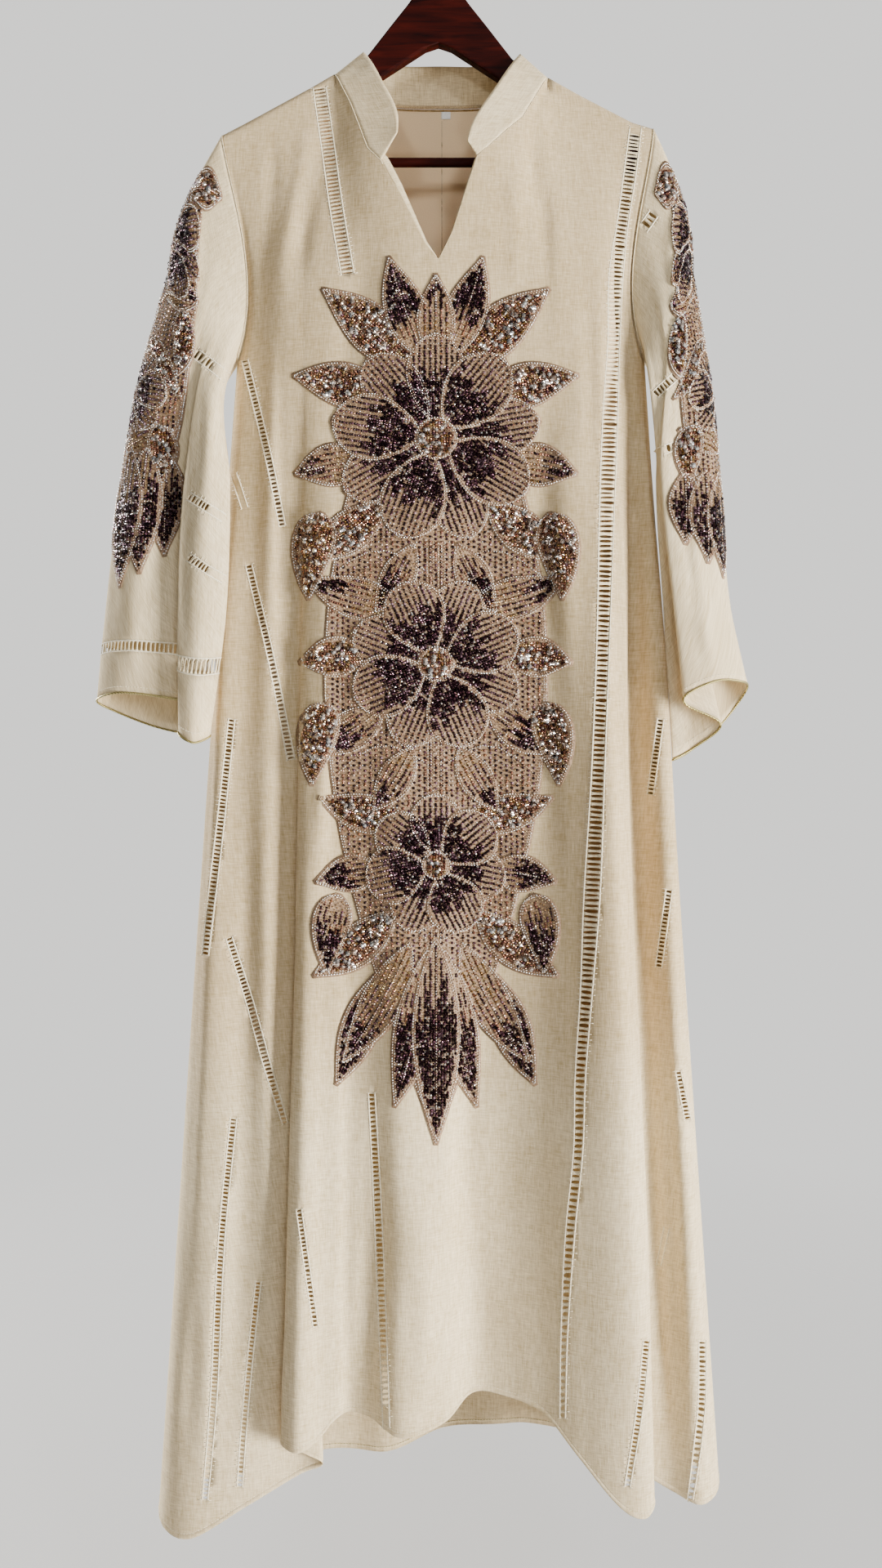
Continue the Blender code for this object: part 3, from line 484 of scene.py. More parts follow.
# Creases: from x, z to x, z, how far the middle bows aside, width, height and, where it differs, the width of
# the side towards +X, in mm; a trough is less than 0
FRONT_CREASES = (
    (-95, -200, -150, -420, 10, 16, -1.6),
    (-130, -210, -170, -470, 6, 12, 1.2),
    (-176, -220, -190, -400, -6, 9, -1.2),
    (-60, -320, -110, -620, 8, 18, -1.5),
    (100, -240, 128, -620, -6, 16, -1.6),
    (120, -260, 142, -900, 5, 13, 1.8),
    (112, -480, 118, -860, 3, 14, -1.6),
    (150, -330, 158, -820, -5, 12, -1.5),
    (176, -420, 180, -980, 4, 10, -1.4),
    (-118, -560, -126, -1080, -5, 13, 1.8),
    (-96, -660, -104, -1180, 6, 15, -1.6),
    (-60, -1230, -66, -1600, 4, 18, -2.4),
    (-22, -1290, -16, -1590, -5, 20, 2.4),
    (30, -1180, 44, -1570, 8, 22, -2.6),
    (56, -330, 76, -1640, 0, 56, -4.6),
    (108, -520, 112, -1120, 0, 28, -2.6),
    (166, -320, 210, -1680, 10, 44, 7.2, 15),
    (203, -480, 243, -1680, 8, 7, -5.8, 9),
    (216, -440, 276, -1690, 4, 9, 5.6, 20),
    (-218, -480, -256, -1640, 0, 10, 3.4, 26),
    (-171, -420, -182, -1560, 2, 15, 4.4, 9),
    (-84, -1250, -98, -1590, -6, 16, 2.0),
    (-214, -760, -244, -1240, 5, 13, 1.8),
    (-198, -900, -214, -1600, -6, 13, -2.0),
    (-226, -1180, -262, -1690, 6, 14, -1.8),
    (-176, -1240, -168, -1640, 4, 11, 1.6),
    (96, -196, 104, -330, 3, 8, -1.4),
    (74, -262, 80, -420, -3, 9, 1.2),
    (-30, -400, -44, -640, 6, 22, 1.0),
    (20, -420, 36, -700, -6, 20, -1.0),
)
BACK_CREASES = (
    (-90, -205, -150, -520, 10, 18, -2.7),
    (90, -205, 150, -520, -10, 18, -2.7),
    (-40, -230, -70, -700, 8, 20, 3.2),
    (36, -240, 60, -760, -6, 20, 3),
    (0, -260, -4, -900, 6, 22, -2.4),
    (-130, -330, -176, -900, 6, 14, 3.6),
    (132, -330, 178, -880, -8, 14, 3.6),
    (-166, -300, -200, -760, -6, 12, -2.7),
    (168, -300, 202, -800, 6, 12, -2.7),
    (-84, -760, -96, -1620, 6, 20, -3.6),
    (-30, -900, -36, -1600, -8, 20, 4.4),
    (26, -980, 34, -1600, 6, 20, -3.3),
    (80, -820, 96, -1590, -8, 20, 4.8),
    (126, -900, 150, -1620, 8, 16, -3.3),
    (-140, -900, -160, -1640, -6, 16, 4.4),
    (-200, -880, -232, -1660, 6, 16, -3.3),
    (204, -900, 240, -1640, -6, 16, -3.3),
    (-228, -1100, -266, -1670, -4, 12, 3.6),
    (230, -1080, 270, -1650, 4, 12, 3.6),
)
# On a sleeve the same list is used for its front and, turned over, for its back
RIGHT_SLEEVE_CREASES = (
    (-262, -236, -300, -470, 8, 12, -2.0),
    (-252, -300, -274, -520, -5, 10, 1.6),
    (-300, -380, -330, -640, 6, 13, 1.8),
    (-276, -500, -306, -760, -6, 12, -2.0),
    (-330, -560, -346, -800, 5, 12, -1.6),
    (-300, -640, -318, -830, 6, 12, 1.6),
    (-256, -560, -262, -820, 4, 9, -1.6),
    (-236, -480, -244, -700, -3, 9, 1.4),
)
LEFT_SLEEVE_CREASES = (
    (252, -236, 270, -460, -6, 10, -1.8),
    (244, -320, 262, -560, 5, 9, 1.6),
    (268, -420, 292, -680, -5, 11, 1.8),
    (250, -520, 270, -780, 4, 10, -1.8),
    (290, -560, 306, -800, -4, 10, -1.6),
    (262, -660, 286, -820, 4, 9, 1.5),
)

# Soft wrinkles of the lining in the neck
LINING_CREASES = (
    (-70, -232, 64, -224, 3, 6, -1.3),
    (-58, -252, 30, -262, -3, 7, 1.2),
    (-30, -300, 60, -282, 4, 8, -1.3),
    (-44, -330, 20, -346, 3, 8, 1.2),
    (-20, -372, 26, -360, -2, 7, -1.0),
)
CREASE_STRENGTH = 1.6
# How a crease's width and height change along it: by how much, how fast, and how each starts after the last
WIDTH_WAVES = (0.3, 7, 2.1)
HEIGHT_WAVES = (0.25, 11, 1.3)

GRAIN_LEVELS = 90
RIPPLE_SIZE = 75 * MM
RIPPLE_HEIGHT = 1.1 * MM
FINE_RIPPLE = 3
FINE_RIPPLE_SEED = 9
FRONT_SEED = 3
BACK_SEED = 7
SLEEVE_SEED = 11
FRONT_BEADS_SEED = 4
SLEEVE_BEADS_SEED = 21
# Where creases and ripples begin below the top edge, and the still rows and columns at the edges
FREE_FROM = 8 * MM
FREE_OVER = 60 * MM
STILL_COLUMNS = 5
STILL_CAP_ROWS = 8
STILL_CUFF_ROWS = 4
CUFF_SHARE = 0.2
SLEEVE_BACK_SHARE = 0.8
HEM_ROLL = (0, 0.15, -0.25, 0.3, 0.6, 0.35, -0.2)


def colour_of(text):
    """An sRGB hex colour turned linear."""
    parts = [int(text[k:k + 2], 16) / 255 for k in (0, 2, 4)]
    return tuple(c / 12.92 if c <= 0.04045 else ((c + 0.055) / 1.055) ** 2.4 for c in parts) + (1,)


def palette(texts):
    return [colour_of(text) for text in texts.split()]


# Colours of the beads and sequins
PLUM = palette("2E161D 3C1F29 26121A 4A2834 351C26 2B161D 5E3A48 92707E")
ROSE = palette("A8725E BC8870 8E5A48 CFA389 6E4236 B57C5A E6CBB6")
CHAMPAGNE = palette("B8915A CCAC78 A27842 DCC592 8A6434")
BRIGHT = palette("FBF4EE F2E2D8 FFFFFF E6D0C0")
PALE = palette("F3E8DE FBF6F0 D9C4B2 FFFFFF B08E78")
INNER = palette("DCC4AE B08A72 EADACA 9A7460 F6EEE6")
RING_HOLE = colour_of("AD917A")

# Room
FLOOR_Z = -1.95
FLOOR_RADIUS = 2.2
FLOOR_SIDES = 96
WORLD_COLOUR = "DDDCD9"
WORLD_STRENGTH = 1.65
# In front of the garment the room is dim on the left and light on the right
ROOM_LEFT = 0.1
ROOM_RIGHT = 0.36
LINEN_LIGHT = 0.22
LINING_LIGHT = 0.3
LINED_TINT = "EAE3DA"
THREAD_GRAIN = 1.2 * MM
TAPE_GRAIN = 0.5 * MM
# The deeper tone fades out round the lining's hem
LINED_BELOW = 70 * MM
LINED_ABOVE = 110 * MM
# Slub threads run across and down; a slub is about 14 mm long and 0.9 mm thick, drawn twice as coarse.
# Grains across and down a metre, weight
SLUBS = ((100, 760, 0.95), (860, 80, 1.0), (36, 300, 0.45), (320, 30, 0.6), (9, 9, 0.35))
SLUB_RANGE = (1.28, 2.06)
# name, place, aim, size, power, colour
LIGHTS = (
    ("window", (4.45, -2.3, -2.1), (0, 0, -1.1), (1.6, 2.2), 1060, (1, 0.97, 0.92)),
    ("window behind", (-4.2, 2.1, -0.6), (0, 0, -1.0), (1.6, 2.2), 560, (1, 0.98, 0.95)),
    ("glint right", (0.7, -1.6, 0.6), (0, 0, -0.7), (0.22, 0.22), 9, (1, 1, 1)),
    ("glint left", (-0.6, -1.7, 0.3), (0, 0, -0.7), (0.18, 0.18), 7, (1, 1, 1)),
    ("glint low", (0.3, -1.9, -1.5), (0, 0, -0.9), (0.18, 0.18), 7, (1, 1, 1)),
)


# Small helpers

def mix(a, b, share):
    return a + (b - a) * share


def smooth(share):
    share = min(max(share, 0.0), 1.0)
    return share * share * (3 - 2 * share)


def line_value(points, at):
    """The height of a broken line at one place."""
    for (x0, y0), (x1, y1) in zip(points, points[1:]):
        if at <= x1:
            return mix(y0, y1, max(at - x0, 0) / (x1 - x0))
    return points[-1][1]


def spline(values, at, before, after):
    """A Catmull-Rom curve through evenly spaced values, with one value added at each end."""
    i = min(int(at), len(values) - 2)
    t = at - i
    row = [before] + list(values) + [after]
    a, b, c, d = row[i:i + 4]
    return 0.5 * (2 * b + (c - a) * t + (2 * a - 5 * b + 4 * c - d) * t ** 2
                  + (3 * b - a - 3 * c + d) * t ** 3)


def ring_spline(values, at):
    """The same curve round a closed row of values."""
    n = len(values)
    i = int(at) % n
    return spline([values[i], values[(i + 1) % n]], at - int(at), values[i - 1], values[(i + 2) % n])


def between(start, end, leaving, arriving, t):
    """A smooth curve from start to end with the given slopes at both."""
    return (start * (2 * t ** 3 - 3 * t ** 2 + 1) + leaving * (t ** 3 - 2 * t ** 2 + t)
            + end * (3 * t ** 2 - 2 * t ** 3) + arriving * (t ** 3 - t ** 2))


def through(stations, at):
    """A smooth curve through unevenly spaced points, by chord length."""
    i = min(int(at), len(stations) - 2)
    chords = [max((b - a).length, SMALL) for a, b in zip(stations, stations[1:])]
    slopes = [(b - a) / c for a, b, c in zip(stations, stations[1:], chords)]

    def tangent(k):
        if k == 0:
            return slopes[0]
        if k == len(slopes):
            return slopes[-1]
        return (slopes[k - 1] * chords[k] + slopes[k] * chords[k - 1]) / (chords[k - 1] + chords[k])

    return between(stations[i], stations[i + 1], tangent(i) * chords[i], tangent(i + 1) * chords[i], at - i)


def inner_skin(grid, wall, flip, corners):
    """The grid moved in by one wall. At a corner column only one side is looked at for the direction."""
    last, lowest = len(grid) - 1, len(grid[0]) - 1
    skin = []
    for i, row in enumerate(grid):
        before = grid[max(i if corners.get(i) == 1 else i - 1, 0)]
        after = grid[min(i if corners.get(i) == -1 else i + 1, last)]
        moved = []
        for j, point in enumerate(row):
            down = row[min(j + 1, lowest)] - row[max(j - 1, 0)]
            out = (after[j] - before[j]).cross(down).normalized() * flip
            moved.append(point - out * wall)
        skin.append(moved)
    return skin


# The dress

def front_top_z(x):
    return line_value(FRONT_TOP_EDGE, x / MM) * MM


def back_top_z(x):
    if NECK_POINT_LEFT * MM < x < NECK_POINT_RIGHT * MM:
        end = front_top_z((NECK_POINT_LEFT if x < 0 else NECK_POINT_RIGHT) * MM)
        return mix(BACK_NECK_Z, end, neck_share(x) ** NECK_CORNER_SHAPE)
    return front_top_z(x)


def neck_share(x):
    """0 at the middle of the neck, 1 at its side, where the collar crosses the shoulder seam."""
    return x / ((NECK_POINT_LEFT if x < 0 else NECK_POINT_RIGHT) * MM)


def over_arm(drop):
    """0 on top of the hanger's arm, 1 where the cloth hangs clear beside it."""
    return math.sqrt(max(1 - (1 - min(drop / RIDGE_DROP, 1)) ** 2, 0))


def neck_y(x, depth):
    """Depth of the neckline: it goes round the hanger's arm, then to the front or the back."""
    inside = max(1 - neck_share(x), 0)
    ridge = math.copysign(RIDGE_DEPTH, depth)
    return ridge * over_arm(inside * NECK_RISE) + (depth - ridge) * (1 - (1 - inside) ** NECK_ROUNDING)


def hang_y(x_top, y_chest, depth, drop, share):
    """Depth between the top edge and the chest: over the hanger's arm, then down to the chest."""
    y_top = neck_y(x_top, depth)
    y_ridge = y_top + (math.copysign(RIDGE_DEPTH, depth) * over_arm(drop) if neck_share(x_top) >= 1 else 0)
    return mix(y_ridge, y_chest, smooth(share))


def column(table, field, at, before=None, after=None):
    """One field of a fold table at a place between its rows."""
    values = [row[field] for row in table]
    first = 2 * values[0] - values[1] if before is None else before
    last = 2 * values[-1] - values[-2] if after is None else after
    return spline(values, at, first, last) * MM


def level_curve(chest, hip, hem, z_hem, z):
    """A value below the chest, smooth through the hip."""
    upper = (hip - chest) / (CHEST_Z - HIP_Z)
    lower = (hem - hip) / (HIP_Z - z_hem)
    middle = (upper + lower) / 2
    if z > HIP_Z:
        high = CHEST_Z - HIP_Z
        return between(chest, hip, upper * high, middle * high, (CHEST_Z - z) / high)
    high = HIP_Z - z_hem
    return between(hip, hem, middle * high, lower * high, (HIP_Z - z) / high)


def top_x(table, at):
    """Where a column starts: the columns crowd towards the neck's sides."""
    i = min(int(at), len(table) - 2)
    share = at - i
    left, right = table[i][1], table[i + 1][1]
    if left == NECK_POINT_LEFT:
        share = share ** NECK_CROWDING
    if right == NECK_POINT_RIGHT:
        share = 1 - (1 - share) ** NECK_CROWDING
    return mix(left, right, share) * MM


def panel_column(table, at):
    """Everything that one column of a panel needs."""
    back = table is BACK_FOLDS
    x_top = top_x(table, at)
    xs = [column(table, k, at, table[1][k], table[-2][k]) for k in (2, 3, 4)]
    ys = [column(table, k, at) for k in (5, 6, 7)]
    z_top = back_top_z(x_top) if back else front_top_z(x_top)
    return {"x_top": x_top, "z_top": z_top, "x": xs, "y": ys,
            "z_hem": column(table, 8, at), "depth": NECK_DEPTH if back else -NECK_DEPTH,
            "edge": at in (0, len(table) - 1)}


def armhole_curve(x, share):
    """How far the armhole cuts in, most at two thirds of the way down and only at a panel's sides."""
    cut = ARMHOLE_CURVE * share ** 2 * (1 - share) * CURVE_TOP
    return math.copysign(cut * (abs(x) / ARMHOLE_REACH) ** ARMHOLE_SIDE_POWER, x)


def panel_point(col, z):
    drop = col["z_top"] - z
    if z >= CHEST_Z:
        share = drop / (col["z_top"] - CHEST_Z)
        x = mix(col["x_top"], col["x"][0], 1 - (1 - share) ** 2)
        x -= armhole_curve(x, share)
        y = hang_y(col["x_top"], col["y"][0], col["depth"], drop, share)
        if col["edge"]:
            y = math.copysign(RIDGE_DEPTH, col["depth"]) * over_arm(min(drop, z - CHEST_Z))
    else:
        x = level_curve(*col["x"], col["z_hem"], z)
        y = level_curve(*col["y"], col["z_hem"], z)
    return Vector((x, y, z))


def column_heights(z_top, z_hem):
    """Heights of the rows of one column: close together over the hanger, then even."""
    zs = [z_top - drop * MM for drop in TOP_DROPS]
    start = zs[-1]
    zs += [mix(start, CHEST_Z, k / CHEST_CELLS) for k in range(1, CHEST_CELLS + 1)]
    zs += [mix(CHEST_Z, HIP_Z, k / HIP_CELLS) for k in range(1, HIP_CELLS + 1)]
    zs += [mix(HIP_Z, z_hem + HEM_START, k / HEM_CELLS) for k in range(1, HEM_CELLS + 1)]
    return zs + [z_hem + rise * MM for rise in HEM_ROWS]


def panel_places(table):
    places = []
    for i, row in enumerate(table[:-1]):
        places += [i + k / row[-1] / FINER for k in range(row[-1] * FINER)]
    return places + [len(table) - 1]


def panel_grid(table):
    gap = math.copysign(SEAM_GAP / 2, 1 if table is BACK_FOLDS else -1)
    grid = []
    for at in panel_places(table):
        col = panel_column(table, at)
        points = [panel_point(col, z) for z in column_heights(col["z_top"], col["z_hem"])]
        grid.append([p + Vector((0, gap, 0)) for p in points])
    return grid


def neck_corners(table):
    """The columns that start at the neck's sides, each looking away from the neck."""
    found = {}
    for i, at in enumerate(panel_places(table)):
        x = round(top_x(table, at) / MM)
        if at == int(at) and x in (NECK_POINT_LEFT, NECK_POINT_RIGHT):
            found[i] = -1 if x < 0 else 1
    return found


@functools.cache
def armhole_line(table, side):
    """A panel's armhole edge as it is built, from the shoulder tip to the underarm."""
    col = panel_column(table, 0 if side < 0 else len(table) - 1)
    heights = column_heights(col["z_top"], col["z_hem"])
    return [panel_point(col, z) for z in heights[:len(TOP_DROPS) + CHEST_CELLS - 1]]


def armhole_point(table, side, share):
    """A point of the armhole edge, share of the way down."""
    line = armhole_line(table, side)
    z = mix(line[0].z, line[-1].z, share)
    for upper, lower in zip(line, line[1:]):
        if z >= lower.z:
            return mix(upper, lower, (upper.z - z) / (upper.z - lower.z))
    return line[-1]


# Sleeves

def sleeve_point(table, side, at, along):
    """A sleeve's surface: at goes round its fold lines, along goes from the armhole to the cuff."""
    n = len(table)
    share = ring_line([row[1] for row in table], at)
    inner_edge = next(k for k, row in enumerate(table) if row[0] == "inner edge")
    start = armhole_point(FRONT_FOLDS if at % n < inner_edge else BACK_FOLDS, side, share)
    start.x += side * ARMHOLE_GAP
    stations = [start]
    for level, (z_outer, z_inner) in enumerate(SLEEVE_LEVELS):
        x = ring_spline([row[2 + 2 * level] for row in table], at % n)
        y = ring_spline([row[3 + 2 * level] for row in table], at % n)
        stations.append(Vector((x, y, mix(z_outer, z_inner, share))) * MM)
    cuff = [ring_spline([row[k] for row in table], at % n) for k in (8, 9, 10)]
    stations.append(Vector(cuff) * MM)
    point = through(stations, along)
    if along < 1:
        point.x += side * CAP_BULGE * math.sin(math.pi * along) * (1 - share)
    return point


def ring_line(values, at):
    i = int(at) % len(values)
    return mix(values[i], values[(i + 1) % len(values)], at - int(at))


def sleeve_places():
    places = []
    for level, cells in enumerate(SLEEVE_CELLS):
        places += [level + k / cells for k in range(cells)]
    return places + [len(SLEEVE_CELLS)]


def sleeve_grid(table, side):
    cells = len(table) * SLEEVE_CELLS_ROUND
    return [[sleeve_point(table, side, i / SLEEVE_CELLS_ROUND, along) for along in sleeve_places()]
            for i in range(cells)]


# Collar

def neckline(x, side):
    depth = NECK_DEPTH * (1 if side > 0 else -1)
    return Vector((x, neck_y(x, depth), back_top_z(x) if side > 0 else front_top_z(x)))


def collar_grid():
    tops = [Vector(station[3:]) * MM for station in COLLAR_STATIONS]
    grid = []
    for k in range((len(tops) - 1) * COLLAR_CELLS + 1):
        at = k / COLLAR_CELLS
        i = min(int(at), len(tops) - 2)
        x = mix(COLLAR_STATIONS[i][1], COLLAR_STATIONS[i + 1][1], at - i) * MM
        base = neckline(x, COLLAR_STATIONS[i][2] + COLLAR_STATIONS[i + 1][2])
        top = through(tops, at)
        base = base + (top - base).normalized() * COLLAR_GAP
        grid.append([mix(top, base, j / COLLAR_HEIGHT_CELLS) for j in range(COLLAR_HEIGHT_CELLS + 1)])
    return grid


# Lining

def lining_grid(panel, table, back):
    """The panel's points moved in, down to the chest; below that it hangs flatter than the panel."""
    places = panel_places(table)
    inset = inner_skin(panel, LINING_INSET, 1 if back else -1, neck_corners(table))
    first = LINING_FIRST_ROW
    chest = len(TOP_DROPS) + CHEST_CELLS - 1
    kept = []
    for i, at in enumerate(places):
        x = panel[i][0].x
        if abs(x) < LINING_SHOULDER and (neck_share(x) <= LINING_NECK_SHARE or at == int(at)):
            kept.append(i)
    width = max(abs(inset[i][chest].x) for i in kept)
    shift = (LINING_WALL + SEAM_GAP) * (1 if back else -1)
    grid = []
    for i in kept:
        points = inset[i][first:chest + 1]
        start = points[-1]
        edge = abs(start.x / width)
        middle_y = LINING_BACK_Y if back else LINING_FRONT_Y
        flat_y = mix(LINING_SIDE_Y + shift, middle_y, 1 - edge ** LINING_FLATNESS)
        for k in range(1, LINING_CELLS + 1):
            share = k / LINING_CELLS
            y = mix(start.y, flat_y, 1 - (1 - share) ** LINING_FLATNESS)
            z = mix(start.z, LINING_HEM_Z, share)
            points.append(Vector((start.x * mix(1, LINING_SPREAD, share), y, z)))
        grid.append(points)
    return grid


def label_grid(lining):
    """A small plate on the inner face of the back lining, at the height of its solid."""
    face = inner_skin(lining, LINING_THICK + SEAM_GAP, 1, {})
    columns = sorted(face, key=lambda column: column[0].x)
    low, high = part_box("neck_label")
    grid = []
    levels = np.linspace(high[2], low[2] - LABEL_DROP, LABEL_CELLS)
    for x in np.linspace(*LABEL_X, LABEL_CELLS):
        right = next(k for k, column in enumerate(columns) if column[0].x > x)
        a, b = columns[right - 1], columns[right]
        share = (x - a[0].x) / (b[0].x - a[0].x)
        line = [mix(p, q, share) for p, q in zip(a, b)]
        depths = [(-p.z, p.y) for p in line]
        grid.append([Vector((x, line_value(depths, -z), z)) for z in levels])
    return grid


# Fine cloth

def vectors(row):
    return [Vector(p) for p in row]


def as_array(grid):
    return np.array([[tuple(p) for p in row] for row in grid])


def outward(points, closed, flip):
    """The direction out of a cloth grid at every point."""
    along = np.roll(points, -1, 0) - np.roll(points, 1, 0) if closed else np.gradient(points, axis=0)
    out = np.cross(along, np.gradient(points, axis=1)) * flip
    return out / np.maximum(np.linalg.norm(out, axis=2, keepdims=True), TINY)


def sway(share, row, waves):
    """A slow change about 1 along one crease, which starts elsewhere on each."""
    size, turns, shift = waves
    return 1 + size * np.sin(share * turns + row * shift)


def crease_height(points, creases):
    """How far every point moves out: ridges out, troughs in, uneven along and soft at both ends."""
    x, z = points[..., 0] / MM, points[..., 2] / MM
    height = np.zeros(x.shape)
    for row, (x0, z0, x1, z1, bow, width, depth, *other) in enumerate(creases):
        run = np.array((x1 - x0, z1 - z0), float)
        length = np.hypot(*run)
        share = np.clip(((x - x0) * run[0] + (z - z0) * run[1]) / length ** 2, 0, 1)
        aside = ((x - x0) * run[1] - (z - z0) * run[0]) / length - bow * 4 * share * (1 - share)
        wide = np.where(aside > 0, width, *(other or [width])) * sway(share, row, WIDTH_WAVES)
        deep = depth * CREASE_STRENGTH * sway(share, row, HEIGHT_WAVES)
        ends = np.clip(np.minimum(share, 1 - share) * CREASE_FADE, 0, 1)
        ends = ends * ends * (3 - 2 * ends)
        far = (aside / wide) ** 2
        height += deep * ends * (1 - SHOULDER * far) * np.exp(-far)
    return height * MM


def ripple(points, seed, size, height):
    """Slow uneven rise and fall of hanging cloth."""
    rise = np.zeros(points.shape[:2])
    for i in range(points.shape[0]):
        for j in range(points.shape[1]):
            x, y, z = points[i, j]
            rise[i, j] = noise.noise(Vector((x / size + seed, y / size, z / size / RIPPLE_STRETCH)))
    return rise * height


def run_lengths(points, axis=0):
    """How far along its line each point lies, from the line's start."""
    return np.insert(np.linalg.norm(np.diff(points, axis=axis), axis=-1).cumsum(axis), 0, 0, axis)


def flat_lengths(points, closed):
    """Where each point lies on the cloth before it was hung: across and down, in metres."""
    if closed:
        points = np.concatenate([points, points[:1]])
    across = run_lengths(points)
    return np.stack([across - across[len(across) // 2], -run_lengths(points, 1)], -1)


def panel_flat(table, points):
    """Places on a panel's flat cloth: across along level lines from the middle, and straight down."""
    levels = np.linspace(points[..., 2].max(), points[..., 2].min(), GRAIN_LEVELS)
    lengths = []
    for at in panel_places(table):
        col = panel_column(table, at)
        lengths.append([tuple(panel_point(col, max(min(z, col["z_top"]), col["z_hem"])))[:2] for z in levels])
    level_points = np.array(lengths)
    across = run_lengths(level_points)
    across -= across[int(np.argmin(abs(level_points[:, 0, 0])))]
    flat = np.empty(points.shape[:2] + (2,))
    for i in range(points.shape[0]):
        flat[i, :, 0] = np.interp(-points[i, :, 2], -levels, across[i])
    flat[..., 1] = points[..., 2]
    return flat


def add_mesh(name, points, faces, look):
    """A smooth mesh in the scene, in its material."""
    mesh = bpy.data.meshes.new(name)
    mesh.from_pydata(points, [], faces)
    mesh.shade_smooth()
    mesh.materials.append(look)
    made = bpy.data.objects.new(name, mesh)
    bpy.context.scene.collection.objects.link(made)
    return made


def cloth_faces(points, closed, flip, flat=None):
    """The quads of a cloth grid and the flat place of each corner."""
    n, m = points.shape[:2]
    if flat is None:
        flat = flat_lengths(points, closed)
    columns = n if closed else n - 1
    i, j = np.meshgrid(np.arange(columns), np.arange(m - 1), indexing="ij")
    order = ((0, 0), (1, 0), (1, 1), (0, 1))
    if flip < 0:
        order = order[::-1]
    quads = np.stack([((i + a) % n) * m + j + b for a, b in order], -1).reshape(-1, 4)
    corners = np.stack([flat[i + a, j + b] for a, b in order], 2).reshape(-1, 2)
    return quads, corners


def add_cloth(name, points, closed, flip, look, wall, flat=None):
    """A thin shell: its outside is the grid, its wall goes in."""
    quads, corners = cloth_faces(points, closed, flip, flat)
    made = add_mesh(name, points.reshape(-1, 3).tolist(), quads.tolist(), look)
    layer = made.data.uv_layers.new(name="cloth")
    layer.data.foreach_set("uv", corners.astype(np.float32).ravel())
    if wall:
        give_wall(made, wall)
    return made


def give_wall(made, wall, side=-1):
    """A wall inside the surface, or with side 0 half on each side of it."""
    thick = made.modifiers.new("cloth wall", "SOLIDIFY")
    thick.thickness = wall
    thick.offset = side


def keep(made, slot, *nodes):
    """The piece moves with the garment and stands for its solids. The slot is not used."""
    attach(made, BODY)
    if nodes:
        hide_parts(*nodes)
    return made


def tree_of(points, closed, flip):
    """A cloth's surface, on which places are looked up."""
    quads, _ = cloth_faces(points, closed, flip)
    return BVHTree.FromPolygons(vectors(points.reshape(-1, 3)), quads.tolist())


# Drawn-thread ladders

def eye(side):
    """From here the front or the back is laid out, as the photograph lays out the front."""
    return Vector((CAMERA_X, side * CAMERA_DISTANCE, CAMERA_Z))


def on_cloth(tree, side, x, z):
    """The point of the cloth that is seen at a place of the garment's middle plane, and its direction out."""
    start = eye(side)
    aim = Vector((x, 0, z)) - start
    found, normal, *_ = tree.ray_cast(start, aim.normalized())
    if found is None:
        return None, None
    return found, normal if normal.dot(aim) < 0 else -normal


def plane_place(point, side):
    """Where a point is seen on the garment's middle plane."""
    start = eye(side)
    share = start.y / (start.y - point.y)
    return start.x + (point.x - start.x) * share, start.z + (point.z - start.z) * share


def smooth_route(route, first_step, last_step):
    """A route's rows on a smooth curve, at a step that changes from its start to its end."""
    rows = [Vector(((a + b) / 2, (b - a) / 2, z)) for a, b, z in route]
    out = []
    for i in range(len(rows) - 1):
        step = mix(first_step, last_step, i / (len(rows) - 1))
        count = max(int((rows[i + 1] - rows[i]).length / step), 1)
        out += [through(rows, i + k / count) for k in range(count)]
    out.append(rows[-1])
    return [((p.x - p.y) * MM, (p.x + p.y) * MM, p.z * MM) for p in out]


def edge_lines(route):
    """Both edges of a strip as lists of places on the middle plane, square to its run."""
    left, right = [], []
    for i, (a, b, z) in enumerate(route):
        before, after = route[max(i - 1, 0)], route[min(i + 1, len(route) - 1)]
        run = Vector(((after[0] + after[1] - before[0] - before[1]) / 2, after[2] - before[2])).normalized()
        middle, half = (a + b) / 2, (b - a) / 2
        left.append((middle + run.y * half, z - run.x * half))
        right.append((middle - run.y * half, z + run.x * half))
    return left, right


def inside_quad(place, corners):
    """Whether a place lies inside a four-sided shape."""
    x, z = place
    sign = 0
    for (x0, z0), (x1, z1) in zip(corners, corners[1:] + corners[:1]):
        turn = (x1 - x0) * (z - z0) - (z1 - z0) * (x - x0)
        if sign and turn * sign < 0:
            return False
        sign = turn
    return True


def near_to(faces, side, places):
    """Parts faces into those that are seen in the box round some places and the others."""
    xs, zs = zip(*places)
    inside, others = [], []
    for face in faces:
        x, z = plane_place(face.calc_center_median(), side)
        seen = (min(xs) - CUT_MARGIN < x < max(xs) + CUT_MARGIN
                and min(zs) - CUT_MARGIN < z < max(zs) + CUT_MARGIN)
        (inside if seen else others).append(face)
    return inside, others


def cut_along(bm, faces, side, p, q):
    """Cuts faces along the line between two places, as it is seen."""
    start = eye(side)
    normal = (Vector((p[0], 0, p[1])) - start).cross(Vector((q[0], 0, q[1])) - start).normalized()
    elements = set(faces)
    for face in faces:
        elements.update(face.edges)
        elements.update(face.verts)
    cut = bmesh.ops.bisect_plane(bm, geom=list(elements), dist=CUT_SNAP, plane_co=start, plane_no=normal)
    return [element for element in cut["geom"] if isinstance(element, bmesh.types.BMFace)]


